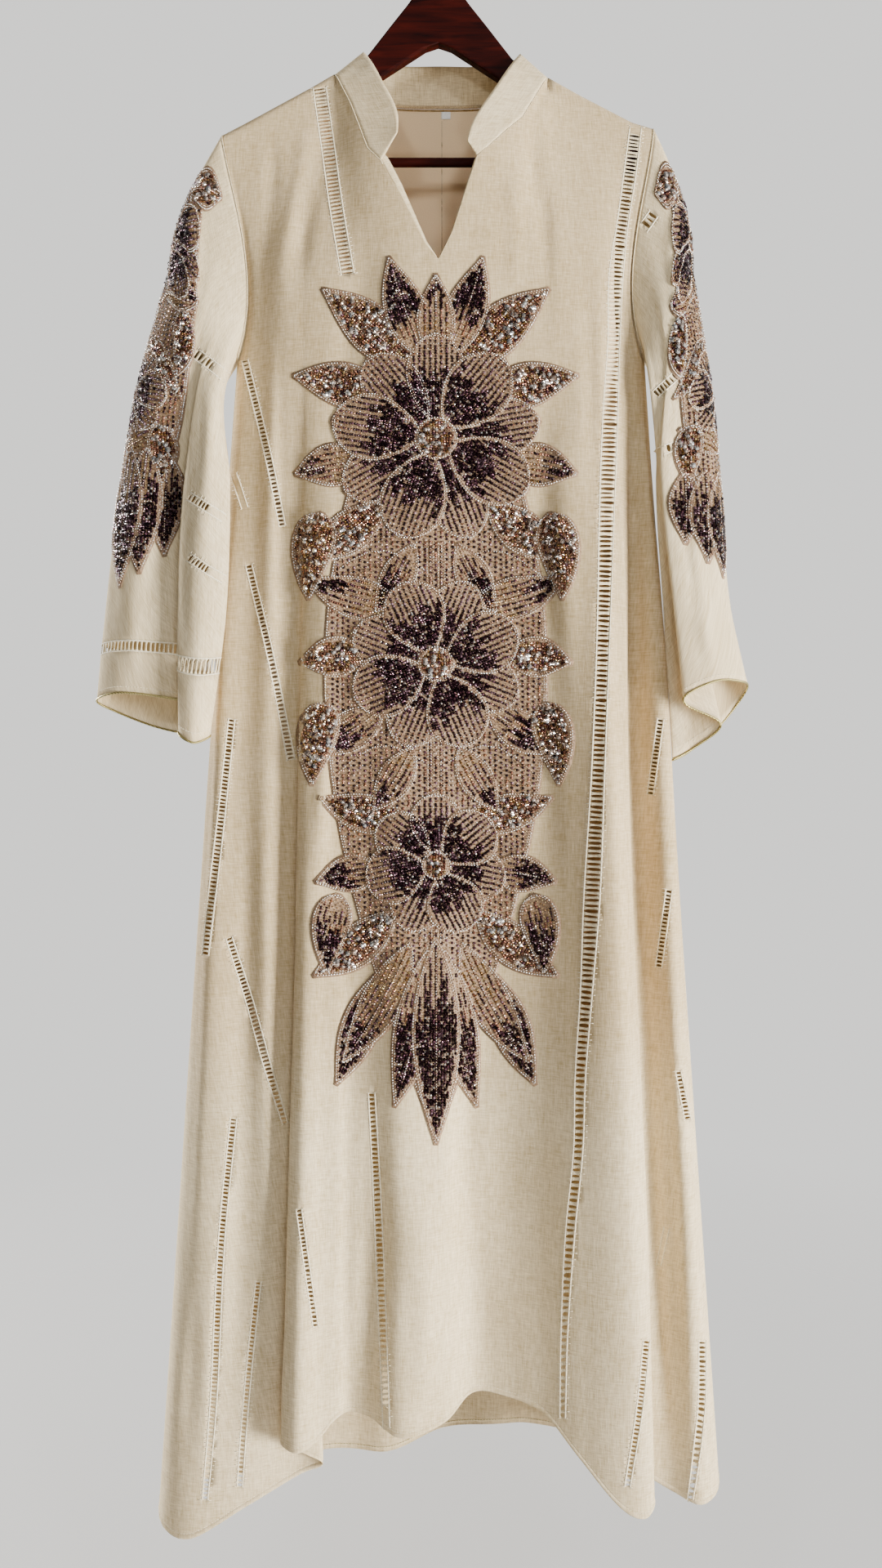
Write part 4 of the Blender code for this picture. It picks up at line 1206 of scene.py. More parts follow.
def cut_ladders(made, tree, side, routes):
    """Opens the strips in the layer of the cloth that shows."""
    bm = bmesh.new()
    bm.from_mesh(made.data)
    shown = bm.faces.layers.int.new("shown")
    for face in bm.faces:
        centre = face.calc_center_median()
        found, _ = on_cloth(tree, side, *plane_place(centre, side))
        face[shown] = int(found is not None and (found - centre).length < LAYER_GAP)
    for route in routes:
        left, right = edge_lines(smooth_route(route, CUT_STEP, CUT_STEP))
        near, _ = near_to([face for face in bm.faces if face[shown]], side, left + right)
        for k in range(len(left) - 1):
            corners = [left[k], left[k + 1], right[k + 1], right[k]]
            sides = [(left[k], left[k + 1]), (right[k], right[k + 1])]
            if k == 0:
                sides.append((left[0], right[0]))
            if k == len(left) - 2:
                sides.append((left[-1], right[-1]))
            band, others = near_to(near, side, corners)
            hits = [on_cloth(tree, side, *p)[0] for p in corners]
            if None in hits or max((p - hits[0]).length for p in hits) > CUT_REACH:
                near = band + others
                continue
            for p, q in sides:
                band = cut_along(bm, band, side, p, q)
            gone = {face for face in band
                    if inside_quad(plane_place(face.calc_center_median(), side), corners)}
            near = others + [face for face in band if face not in gone]
            bmesh.ops.delete(bm, geom=list(gone), context="FACES")
    bm.faces.layers.int.remove(bm.faces.layers.int["shown"])
    bm.to_mesh(made.data)
    bm.free()
    made.data.shade_smooth()


class Heap:
    """Many small closed shapes gathered into one mesh."""

    def __init__(self):
        self.points = []
        self.faces = []

    def add(self, points, faces):
        first = len(self.points)
        self.points += points
        self.faces += [tuple(corner + first for corner in face) for face in faces]

    def tube(self, line, radius, normals, squash=1.0, sides=4, ring=False):
        """A closed cord along a line, flattened by squash; a ring joins its own start. The direction in which
        it is flat is given for every point, or once for the whole line."""
        n = len(line)
        if isinstance(normals, Vector):
            normals = [normals] * n
        points = []
        for i in range(n):
            ahead = line[(i + 1) % n if ring else min(i + 1, n - 1)]
            behind = line[i - 1 if ring else max(i - 1, 0)]
            aside = (ahead - behind).cross(normals[i]).normalized()
            for k in range(sides):
                turn = math.tau * k / sides
                spoke = aside * math.cos(turn) + normals[i] * squash * math.sin(turn)
                points.append(line[i] + spoke * radius)
        faces = [] if ring else [tuple(range(sides)), tuple(range(sides * n - 1, sides * (n - 1) - 1, -1))]
        for i in range(n if ring else n - 1):
            for k in range(sides):
                a, b = sides * i, sides * ((i + 1) % n)
                after = (k + 1) % sides
                faces.append((a + k, b + k, b + after, a + after))
        self.add(points, faces)

    def make(self, name, look):
        return add_mesh(name, [tuple(p) for p in self.points], self.faces, look)


def bundle(heap, start, end, out, width, waist):
    """One drawn bundle of threads: wide at both ends and narrow in the middle."""
    run = (end - start).normalized()
    aside = out.cross(run).normalized()
    points = []
    for share, half in zip(BUNDLE_SHARES, (width, waist, waist * BUNDLE_MIDDLE, waist, width)):
        middle = start.lerp(end, share)
        for a, b in ((-1, -1), (1, -1), (1, 1), (-1, 1)):
            points.append(middle + aside * half * a / 2 + out * RUNG_THICK * b / 2)
    faces = [(3, 2, 1, 0), (16, 17, 18, 19)]
    for i in range(4):
        for k in range(4):
            a, b = 4 * i + k, 4 * i + (k + 1) % 4
            faces.append((a, b, b + 4, a + 4))
    heap.add(points, faces)


def ladder_runs(tree, side, route, first, last):
    """A strip's opposite places on the cloth with their directions out, parted where the cloth breaks off."""
    left, right = edge_lines(smooth_route(route, first, last))
    reach = LADDER_BREAK * (first + last) / 2 * MM
    runs, row = [], []
    for p, q in zip(left, right):
        a, out_a = on_cloth(tree, side, *p)
        b, out_b = on_cloth(tree, side, *q)
        if a is None or b is None or (row and (a - row[-1][0]).length > reach):
            runs.append(row)
            row = []
        if a is not None and b is not None:
            row.append((a, b, out_a, out_b))
    return [row for row in runs + [row] if len(row) >= LADDER_LEAST]


def dress_ladders(name, tree, side, routes, looks, pitches):
    """Thread bundles, pale selvedge cords and short tick stitches along every strip."""
    chance = random.Random(len(routes))
    rungs, cords = Heap(), Heap()
    for place, route in enumerate(routes):
        for row in ladder_runs(tree, side, route, *pitches.get(place, LADDER_PITCH)):
            for k, (a, b, out_a, out_b) in enumerate(row):
                sink = (out_a + out_b).normalized()
                before, after = row[max(k - 1, 0)][0], row[min(k + 1, len(row) - 1)][0]
                gap = (after - before).length / (2 if 0 < k < len(row) - 1 else 1)
                slant = (after - before).normalized() * gap * chance.uniform(*RUNG_SLANTS)
                wide = gap * chance.uniform(*RUNG_WIDTHS)
                bundle(rungs, a - sink * RUNG_SINK, b - sink * RUNG_SINK + slant, sink, wide,
                       wide * chance.uniform(*RUNG_WAISTS))
                across = (b - a).normalized()
                for edge, out, way in ((a, out_a, -1), (b, out_b, 1)):
                    reach = across * way * MM * chance.uniform(*TICK_REACHES)
                    start = edge + out * TICK_LIFT
                    cords.tube([start, start + reach], TICK_RADIUS, out, TICK_SQUASH, TICK_SIDES)
            for edge, out in ((0, 2), (1, 3)):
                line = [end[edge] + end[out] * CORD_LIFT for end in row]
                cords.tube(line, CORD_RADIUS, [end[out] for end in row], CORD_SQUASH)
    keep(rungs.make(name + "_rungs", looks[0]), "linen")
    keep(cords.make(name + "_edges", looks[1]), "linen")
    return [name + "_rungs", name + "_edges"]


# Beadwork

def middle_line(motif, count):
    """A motif's middle line: places, directions along it and across it. Its angle is from straight up."""
    step = motif.length / count
    turns = np.radians(motif.angle + motif.bend * (np.arange(count + 1) / count - 0.5))
    along = np.stack([np.sin(turns), np.cos(turns)], -1)
    places = np.concatenate([np.zeros((1, 2)), (along[:-1] * step).cumsum(0)]) + (motif.x, motif.z)
    return places, along, np.stack([along[:, 1], -along[:, 0]], -1)


def half_width(form, share):
    """How wide a motif is along its length: a round-tipped petal, a pointed leaf, a drop or a disc."""
    share = np.clip(share, 0, 1)
    power, sharp = FORMS[form]
    return np.sin(np.pi * share ** power) ** sharp


def outline_of(motif, margin=0.0, count=OUTLINE_STEPS):
    """A motif's right and left edges, with a margin outside its form."""
    places, along, across = middle_line(motif, count)
    half = half_width(motif.form, np.arange(count + 1) / count)[:, None] * motif.width / 2 + margin
    ends = margin * np.concatenate([[-1], np.zeros(count - 1), [1]])[:, None]
    return places + across * half + along * ends, places - across * half + along * ends


def closed_outline(motif, margin=0.0):
    right, left = outline_of(motif, margin)
    return np.concatenate([right, left[::-1]])


def inside_shape(points, shape):
    """Which points lie inside a closed outline."""
    x, z = points[:, 0], points[:, 1]
    inside = np.zeros(len(points), bool)
    for (x0, z0), (x1, z1) in zip(shape, np.roll(shape, -1, 0)):
        if z0 != z1:
            inside ^= ((z0 > z) != (z1 > z)) & (x < (x1 - x0) * (z - z0) / (z1 - z0) + x0)
    return inside


def covered(spots, layer, motifs, shapes):
    """Which places lie under a motif of a layer above the given one."""
    under = np.zeros(len(spots), bool)
    for motif, shape in zip(motifs, shapes):
        if motif.layer > layer:
            under |= inside_shape(spots, shape)
    return under


def even_steps(line, step):
    """Places at an even step along a broken line, with their directions."""
    total = run_lengths(line)
    count = max(int(total[-1] / step), 2)
    at = (np.arange(count) + 0.5) * total[-1] / count

    def spots(far):
        return np.stack([np.interp(far, total, line[:, k]) for k in range(2)], -1)

    along = spots(at + LOOK_AHEAD) - spots(at - LOOK_AHEAD)
    return spots(at), along / np.maximum(np.linalg.norm(along, axis=1, keepdims=True), TINY)


def fill(motif, chance):
    """Sequins that fill a motif: rows of (x, z, along x, along z, kind, tint, size)."""
    count = int(motif.length / FILL_STEP)
    places, along, across = middle_line(motif, count)
    most = int(motif.width / 2 / LANE_STEP)
    lanes = range(-most, most + 1)
    uneven = {lane: chance.uniform(-LANE_SHIFT, LANE_SHIFT) for lane in lanes}
    rows = []
    for k in range(1, count):
        share = k / count
        room = half_width(motif.form, share) * motif.width / 2 - EDGE_ROOM
        for lane in lanes:
            aside = lane * LANE_STEP
            if abs(aside) > room:
                continue
            found = STYLES[motif.style](share + uneven[lane], lane, k, chance)
            if found is None:
                continue
            kind, tints, size = found
            stray = np.array((chance.uniform(-1, 1), chance.uniform(-1, 1))) * SEQUIN_STRAY
            place = places[k] + across[k] * aside + stray
            rows.append((*place, *along[k], kind, chance.choice(tints), size))
    return rows


def dark_foil(chance):
    """Tight plum foil with a white glint here and there."""
    if chance.random() < 0.15:
        return ("foil", BRIGHT, 0.85)
    return ("foil", PLUM, chance.uniform(1.05, 1.3))


def plum_petal(share, lane, k, chance):
    """Tight dark foil from the base, then dark chains on bare net, then a sprinkling."""
    if share < 0.55:
        return dark_foil(chance)
    if lane % 2:
        return ("bead", CHAMPAGNE if share < 0.8 else PALE, 0.8) if k % 2 else None
    if share < 0.8:
        return ("ring", PLUM, 0.95)
    return ("ring", PLUM, 0.9) if k % 2 == 0 else ("foil", ROSE, 0.75)


def plum_leaf(share, lane, k, chance):
    """Small champagne beads at the base, dark chains, then tight dark foil at the tip."""
    if share > 0.45:
        return dark_foil(chance)
    if share > 0.2:
        if (lane + k // 6) % 2:
            return ("bead", CHAMPAGNE, 0.8)
        return ("ring", PLUM if lane % 2 else ROSE, 0.9)
    return ("bead", CHAMPAGNE, 0.9) if (lane + k) % 2 == 0 else None


def rose_cluster(share, lane, k, chance):
    """Rose and champagne foil with big bright sequins."""
    if chance.random() < 0.17:
        return ("foil", BRIGHT, chance.uniform(1.4, 2.0))
    if chance.random() < 0.12:
        return ("ring", PLUM, 1.1)
    return ("foil", ROSE if chance.random() < 0.75 else CHAMPAGNE, chance.uniform(0.85, 1.2))


def gold_rows(share, lane, k, chance):
    """Rows of small rings and beads, champagne at the base and plum at the tip."""
    if share > 0.7:
        return dark_foil(chance)
    if lane % 2:
        return ("bead", CHAMPAGNE, 0.9) if k % 2 else None
    if share > 0.4:
        return ("ring", PLUM if chance.random() < 0.6 else ROSE, 0.95)
    return ("foil", CHAMPAGNE if chance.random() < 0.7 else ROSE, 0.9)


def fringe(share, lane, k, chance):
    """Dark chains from the base, and tight dark foil over the rest."""
    if share > 0.3:
        return dark_foil(chance)
    return ("ring", PLUM, 0.95) if lane % 2 == 0 else ("bead", CHAMPAGNE, 0.8)


def ground(share, lane, k, chance):
    """Rows of dark rings and of small gold beads that run down the net behind the motifs."""
    if lane % 2:
        return ("bead", CHAMPAGNE if chance.random() < 0.7 else PALE, 0.8) if k % 2 else None
    if (k + lane // 2) % 2:
        return ("foil", ROSE, 0.7) if chance.random() < 0.5 else None
    return ("ring", PLUM if chance.random() < 0.7 else ROSE, 1.0)


STYLES = {"ground": ground, "fringe": fringe, "plum petal": plum_petal, "plum leaf": plum_leaf,
          "rose": rose_cluster, "gold": gold_rows}


def blossom(x, z, radius, count, turn, first_layer):
    """Round petals about a centre, every second one on top, and a beaded centre."""
    width = 2 * math.pi * radius * PETAL_WIDTH / count
    start = radius * PETAL_START
    rows = []
    for k in range(count):
        angle = turn + 360 * k / count
        petal_x = x + start * math.sin(math.radians(angle))
        petal_z = z + start * math.cos(math.radians(angle))
        rows.append(Motif("petal", petal_x, petal_z, angle, radius * PETAL_LENGTH,
                          width * (TOP_PETAL_WIDTH if k % 2 else 1.0), 0, "plum petal", first_layer + k % 2))
    size = radius * CENTRE_SIZE
    return rows + [Motif("disc", x, z - size / 2, 0, size, size, 0, "rose", first_layer + 2)]


def both_sides(rows, middle):
    """Motifs on one side of the middle, each followed by its match on the other side."""
    pairs = [(motif, motif._replace(x=2 * middle - motif.x, angle=-motif.angle, bend=-motif.bend))
             for motif in rows]
    return [motif for pair in pairs for motif in pair]


def bead_row(line, tints, size, chance, wanted=None):
    """Beads at an even step along a line, at all its places or only at the wanted ones."""
    places, along = even_steps(line, BEAD_STEP)
    there = np.ones(len(places), bool) if wanted is None else wanted(places)
    return [(*p, *a, "bead", chance.choice(tints), size) for p, a, sewn in zip(places, along, there) if sewn]


def bead_places(motifs, lines, chance):
    """Every bead and sequin of a design, in its flat places: foil, rings and beads."""
    ordered = sorted(motifs, key=lambda motif: motif.layer)
    shapes = [closed_outline(motif, OUTLINE_MARGIN) for motif in ordered]
    rows = []
    for motif, shape in zip(ordered, shapes):
        found = fill(motif, chance)
        for edge, inner in zip(outline_of(motif), outline_of(motif, -INNER_LINE)):
            found += bead_row(edge, PALE, 1.0, chance)
            found += bead_row(inner, INNER, SMALL_BEAD, chance, lambda spots, s=shape: inside_shape(spots, s))
        if motif.form == "leaf" and motif.style != "ground":
            found += bead_row(middle_line(motif, RIB_STEPS)[0][1:-3], INNER, SMALL_BEAD, chance)
        hidden = covered(np.array([row[:2] for row in found]), motif.layer, ordered, shapes)
        rows += [row + (motif.layer,) for row, gone in zip(found, hidden) if not gone]
    for line, tints in lines:
        found = bead_row(np.array(line, float), tints, SMALL_BEAD, chance,
                         lambda spots: ~covered(spots, 0, ordered, shapes))
        rows += [row + (1,) for row in found]
    return rows


def many(name, shape, faces, places, outs, alongs, sizes, tints, look):
    """One small closed shape repeated at many places, as one mesh with a colour for each."""
    asides = np.cross(outs, alongs)
    frame_of = np.stack([alongs, asides, outs], 1)
    points = places[:, None, :] + np.einsum("pk,nkc->npc", shape, frame_of) * sizes[:, None, None]
    count = len(shape)
    all_faces = [tuple(k + count * i for k in face) for i in range(len(places)) for face in faces]
    made = add_mesh(name, points.reshape(-1, 3).tolist(), all_faces, look)
    layer = made.data.color_attributes.new("tint", "FLOAT_COLOR", "POINT")
    layer.data.foreach_set("color", tints.astype(np.float32).ravel())
    return made


def polygon(sides):
    return [(math.cos(k * math.tau / sides), math.sin(k * math.tau / sides)) for k in range(sides)]


def sequin_shape():
    """A shallow closed cup; its middle is the last point."""
    n = SEQUIN_SIDES
    points = [(x, y, 0) for x, y in polygon(n)] + [(0, 0, -CUP_DEPTH)]
    return np.array(points), [(k, (k + 1) % n, n) for k in range(n)] + [tuple(range(n - 1, -1, -1))]


def bead_shape():
    """A short glass tube of a few sides."""
    n = BEAD_SIDES
    points = [(end, y * BEAD_ACROSS, z * BEAD_ACROSS)
              for end in (-BEAD_HALF, BEAD_HALF) for y, z in polygon(n)]
    faces = [(k, k + n, (k + 1) % n + n, (k + 1) % n) for k in range(n)]
    return np.array(points), faces + [tuple(range(n)), tuple(range(2 * n - 1, n - 1, -1))]


def sew_kind(name, kind, rows, chance, look):
    """All pieces of one kind, each a little tilted and in its own shade of its colour."""
    shape, faces = bead_shape() if kind == "bead" else sequin_shape()
    tilt, radius, stretch = KINDS[kind]
    places, outs, alongs, sizes, tints = [], [], [], [], []
    for place, out, ahead, tint, size, layer in rows:
        big = size > BIG_SIZE
        tip = BIG_TILT if big else tilt
        up = (out + Vector([chance.gauss(0, tip) for _ in range(3)])).normalized()
        lift = TULLE_LIFT + TULLE_LAYER * layer + SEWN_LIFT
        lift += chance.uniform(0, SEWN_UNEVEN) * MM + (BIG_LIFT if big else 0)
        places.append(place + out * lift)
        outs.append(up)
        alongs.append((ahead - up * ahead.dot(up)).normalized())
        sizes.append(radius * size * stretch)
        shade = chance.uniform(*SHADES)
        colour = [min(c * shade, 1) for c in tint[:3]] + [1]
        tints += [colour] * (len(shape) - 1)
        tints.append(RING_HOLE if kind == "ring" else colour)
    return many(name, shape, faces, *map(np.array, (places, outs, alongs, sizes, tints)), look)


def sew_on(name, motifs, lines, surface, seed, looks):
    """Lays a design on a surface: sequins, beads, and the net under each motif."""
    chance = random.Random(seed)
    sorts = {kind: [] for kind in KINDS}
    for x, z, ax, az, kind, tint, size, layer in bead_places(motifs, lines, chance):
        place, out = surface(x, z)
        ahead, _ = surface(x + ax, z + az)
        if place is not None and ahead is not None and (ahead - place).length <= SEWN_REACH:
            sorts[kind].append((place, out, ahead - place, tint, size, layer))
    made = [sew_kind(name + "_" + kind + "s", kind, rows, chance, looks[kind])
            for kind, rows in sorts.items()]
    made.append(add_net(name + "_tulle", motifs, surface, looks["net"]))
    for piece in made:
        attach(piece, BODY)
    return [piece.name for piece in made]


def add_net(name, motifs, surface, look):
    """The net under each motif, cut a little outside its outline and away where another motif covers it."""
    points, faces = [], []
    shapes = [closed_outline(motif) for motif in motifs]
    for motif in motifs:
        rows, lanes = [max(int(size / NET_CELL), NET_LEAST_CELLS) for size in (motif.length, motif.width)]
        right, left = outline_of(motif, TULLE_MARGIN, rows)
        flat = np.array([mix(a, b, k / lanes) for a, b in zip(right, left) for k in range(lanes + 1)])
        hidden = covered(flat, motif.layer, motifs, shapes)
        found = [surface(x, z) for x, z in flat]
        if any(place is None for place, _ in found):
            continue
        first, wide = len(points), lanes + 1
        lift = TULLE_LIFT + TULLE_LAYER * motif.layer
        points += [place + out * lift for place, out in found]
        for i in range(rows):
            for k in range(lanes):
                a = i * wide + k
                corners = (a, a + wide, a + wide + 1, a + 1)
                if not all(hidden[corner] for corner in corners):
                    faces.append(tuple(first + corner for corner in corners))
    used = sorted({corner for face in faces for corner in face})
    number = {corner: k for k, corner in enumerate(used)}
    made = add_mesh(name, [tuple(points[corner]) for corner in used],
                    [tuple(number[corner] for corner in face) for face in faces], look)
    give_wall(made, NET_THICK, 0)
    return made


def sleeve_surface(points, flip):
    """Finds the sleeve's point at a distance round from its outer edge and a distance down that edge."""
    outs = outward(points, True, flip)
    half = points.shape[0] // 2
    order = [k % points.shape[0] for k in range(-half, half + 1)]
    open_points, open_outs = points[order], outs[order]
    across = run_lengths(open_points)
    across -= across[half]
    down = run_lengths(points[0])
    lanes = np.arange(len(order))

    def find(u, v):
        u, v = u * MM, -v * MM
        if not 0 <= v < down[-1]:
            return None, None
        j = min(int(np.searchsorted(down, v, side="right")) - 1, len(down) - 2)
        share = (v - down[j]) / (down[j + 1] - down[j])
        sides = []
        for row in (j, j + 1):
            lane = float(np.interp(u, across[:, row], lanes))
            k = min(int(lane), len(order) - 2)
            t = lane - k
            sides.append((mix(open_points[k, row], open_points[k + 1, row], t),
                          mix(open_outs[k, row], open_outs[k + 1, row], t)))
        place = mix(sides[0][0], sides[1][0], share)
        out = mix(sides[0][1], sides[1][1], share)
        return Vector(place), Vector(out).normalized()

    return find


def front_design():
    """Three blossoms on a stem, with leaves, drops and sprays."""
    motifs = both_sides([Motif(*row) for row in FRONT_MOTIFS], DESIGN_MIDDLE)
    motifs += [Motif(row[0], DESIGN_MIDDLE, *row[1:]) for row in FRONT_MIDDLE_MOTIFS]
    for z, radius, count, turn in FRONT_BLOSSOMS:
        motifs += blossom(DESIGN_MIDDLE, z, radius, count, turn, FRONT_BLOSSOM_LAYER)
    lines = []
    for side in (-1, 1):
        for shift in STEM_SHIFTS:
            lines.append(([(DESIGN_MIDDLE + side * shift, STEM_ENDS[0]),
                           (DESIGN_MIDDLE + side * shift * STEM_TAPER, STEM_ENDS[1])], INNER))
        for x0, z0, x1, z1 in SPRAYS:
            curve = [(DESIGN_MIDDLE + side * mix(x0, x1, t),
                      mix(z0, z1, t) + SPRAY_RISE * math.sin(math.pi * t)) for t in SPRAY_SHARES]
            lines.append((curve, PALE))
    return motifs, lines


def sleeve_design(width, low, length):
    """A spray down the sleeve's outer edge: x is round the sleeve, z down it."""
    leaves = [Motif(*row) for row in SLEEVE_MOTIFS]
    leaves += [Motif("leaf", x, -low, angle, length - shorter, leaf_width, bend, "fringe", layer)
               for x, angle, shorter, leaf_width, bend, layer in SLEEVE_FRINGE]
    motifs = both_sides(leaves, 0) + [Motif("long", 0, -46, 180, 410, width, 0, "ground", 0)]
    for z, radius, count, turn in SLEEVE_BLOSSOMS:
        motifs += blossom(0, z, radius, count, turn, SLEEVE_BLOSSOM_LAYER)
    ends = SLEEVE_STEM_ENDS
    lines = [([(shift, ends[0]), (shift * STEM_TAPER, ends[1])], PALE) for shift in SLEEVE_STEM_SHIFTS]
    return motifs, lines


# Materials

def set_node(tree, node, numbered, named):
    """Gives a node its settings and socket values. An output of another node is plugged into the socket."""
    for key, value in [*named.items(), *numbered]:
        socket = key.replace("_", " ") if isinstance(key, str) else key
        if isinstance(key, str) and socket not in node.inputs:
            setattr(node, key, value)
        elif isinstance(value, bpy.types.NodeSocket):
            tree.links.new(value, node.inputs[socket])
        else:
            node.inputs[socket].default_value = value


def add_node(material, kind, *numbered, **named):
    """One shader node. Sockets that share a name are given as (number, value)."""
    node = material.node_tree.nodes.new(kind)
    set_node(material.node_tree, node, numbered, named)
    return node


def shade(material, **named):
    """Values and outputs for the material's own shader."""
    tree = material.node_tree
    set_node(tree, tree.nodes["Principled BSDF"], (), named)


def new_material(name, **named):
    made = bpy.data.materials.new(name)
    made.use_nodes = True
    shade(made, **named)
    return made


def object_place(made):
    """Places fixed to the piece, so that its grain moves with it."""
    return add_node(made, "ShaderNodeTexCoord").outputs["Object"]


def two_tones(made, grain, dark, light, ends=(0, 1), relief=None):
    """Two tones that follow a grain and, with relief (strength, height), a surface that follows it too."""
    tone = add_node(made, "ShaderNodeValToRGB", Fac=grain)
    for stop, colour, place in zip(tone.color_ramp.elements, (dark, light), ends):
        stop.color = colour_of(colour)
        stop.position = place
    shade(made, Base_Color=tone.outputs["Color"])
    if relief:
        raised = add_node(made, "ShaderNodeBump", Height=grain, Strength=relief[0], Distance=relief[1])
        shade(made, Normal=raised.outputs["Normal"])
    return tone.outputs["Color"]


def uneven_gloss(made, scale, low, high):
    """Worn and clean spots: the roughness changes between two values."""
    worn = add_node(made, "ShaderNodeTexNoise", Vector=object_place(made), Scale=scale)
    spread = add_node(made, "ShaderNodeMapRange", Value=worn.outputs["Fac"], To_Min=low, To_Max=high)
    shade(made, Roughness=spread.outputs["Result"])


def let_light_through(made, colour, share):
    """Thin cloth: part of the light that falls on one side leaves on the other."""
    tree = made.node_tree
    through_it = add_node(made, "ShaderNodeBsdfTranslucent", Color=colour)
    both = add_node(made, "ShaderNodeMixShader", (1, tree.nodes["Principled BSDF"].outputs["BSDF"]),
                    (2, through_it.outputs["BSDF"]), Fac=share)
    set_node(tree, tree.nodes["Material Output"], (), {"Surface": both.outputs["Shader"]})


def linen_look(name, dark, light, lined):
    """Slub linen: an open plain weave whose uneven thick threads give short pale streaks both ways. Some
    light comes through it, and where the lining lies behind it the tone is deeper."""
    made = new_material(name, Roughness=0.95, Sheen_Weight=0.15, Sheen_Roughness=0.5, Specular_IOR_Level=0.15)
    place = add_node(made, "ShaderNodeUVMap", uv_map="cloth").outputs["UV"]
    total = 0
    for across, down, weight in SLUBS:
        turned = add_node(made, "ShaderNodeMapping", Vector=place, Scale=(across, down, 1))
        grain = add_node(made, "ShaderNodeTexNoise", Vector=turned.outputs["Vector"], Scale=1.0, Detail=2.0,
                         Roughness=0.6)
        total = add_node(made, "ShaderNodeMath", (0, grain.outputs["Fac"]), (1, weight), (2, total),
                         operation="MULTIPLY_ADD").outputs["Value"]
    spread = add_node(made, "ShaderNodeMapRange", Value=total, From_Min=SLUB_RANGE[0], From_Max=SLUB_RANGE[1])
    tone = add_node(made, "ShaderNodeMix", (6, colour_of(dark)), (7, colour_of(light)), data_type="RGBA",
                    Factor=spread.outputs["Result"])
    colour = tone.outputs[2]
    if lined:
        parts = add_node(made, "ShaderNodeSeparateXYZ", Vector=object_place(made))
        behind = add_node(made, "ShaderNodeMapRange", interpolation_type="SMOOTHSTEP",
                          Value=parts.outputs["Z"], From_Min=LINING_HEM_Z - LINED_BELOW,
                          From_Max=LINING_HEM_Z + LINED_ABOVE)
        deeper = add_node(made, "ShaderNodeMix", (6, colour), (7, colour_of(LINED_TINT)), data_type="RGBA",
                          blend_type="MULTIPLY", Factor=behind.outputs["Result"])
        colour = deeper.outputs[2]
    raised = add_node(made, "ShaderNodeBump", Height=total, Strength=0.35, Distance=0.0006)
    shade(made, Base_Color=colour, Normal=raised.outputs["Normal"])
    let_light_through(made, colour, LINEN_LIGHT)
    return made


def thread_look(name, dark, light, size):
    """Twisted thread: tone and height change along and across it in fine steps."""
    made = new_material(name, Roughness=0.8, Sheen_Weight=0.2)
    grain = add_node(made, "ShaderNodeTexNoise", Vector=object_place(made), Scale=1 / size, Detail=2.0)
    two_tones(made, grain.outputs["Fac"], dark, light, (0.35, 0.65), (0.3, 0.0003))
    return made


def lining_look():
    """Smooth beige lining of fine weave: a soft low gloss and slow changes of tone."""
    made = new_material("beige lining", Roughness=0.6, Sheen_Weight=0.15, Specular_IOR_Level=0.35)
    place = add_node(made, "ShaderNodeUVMap", uv_map="cloth").outputs["UV"]
    turned = add_node(made, "ShaderNodeMapping", Vector=place, Scale=(900, 900, 1))
    grain = add_node(made, "ShaderNodeTexNoise", Vector=turned.outputs["Vector"], Scale=1.0, Detail=1.0)
    colour = two_tones(made, grain.outputs["Fac"], "F2D6A6", "FFE8C2")
    let_light_through(made, colour, LINING_LIGHT)
    return made


def foil_look(name, metal, rough):
    """Sequin foil and silvered glass: each piece has its own colour and mirrors the room."""
    made = new_material(name, Metallic=metal, Coat_Weight=0.3, Coat_Roughness=0.1)
    shade(made, Base_Color=add_node(made, "ShaderNodeVertexColor", layer_name="tint").outputs["Color"])
    uneven_gloss(made, 160.0, rough * 0.7, rough * 1.4)
    return made


def net_look():
    """Nude tulle: the linen shows through its fine holes, which are drawn three times as coarse."""
    made = new_material("nude tulle", Roughness=0.7)
    holes = add_node(made, "ShaderNodeTexVoronoi", Vector=object_place(made), Scale=420.0).outputs["Distance"]
    two_tones(made, holes, "765C44", "9E8266")
    solid = add_node(made, "ShaderNodeMapRange", Value=holes, To_Min=0.55, To_Max=0.95)
    shade(made, Alpha=solid.outputs["Result"])
    return made


def cord_look():
    """Metallic gold-green edging cord: a tight twist that glints between dark turns."""
    made = new_material("gold-green edging cord", Metallic=0.75, Roughness=0.35)
    twist = add_node(made, "ShaderNodeTexWave", Vector=object_place(made), Scale=260.0, Distortion=2.0,
                     bands_direction="DIAGONAL")
    two_tones(made, twist.outputs["Fac"], "5F5430", "CDBE7E", relief=(0.6, 0.0004))
    return made


def wood_look():
    """Mahogany under clear varnish: long dark grain along the arms, and a gloss."""
    made = new_material("varnished mahogany", Roughness=0.5, Specular_IOR_Level=0.06, Coat_Weight=0.04,
                        Coat_Roughness=0.15)
    turned = add_node(made, "ShaderNodeMapping", Vector=object_place(made), Scale=(14, 160, 160))
    grain = add_node(made, "ShaderNodeTexNoise", Vector=turned.outputs["Vector"], Scale=1.0, Detail=5.0,
                     Distortion=0.6)
    two_tones(made, grain.outputs["Fac"], "0E0101", "360A04", (0.3, 0.75), (0.15, 0.0004))
    return made


def steel_look():
    """Plated wire: a bright mirror with faint drawing marks."""
    made = new_material("plated steel wire", Metallic=1.0, Base_Color=colour_of("C9C9CC"))
    uneven_gloss(made, 900.0, 0.14, 0.32)
    return made


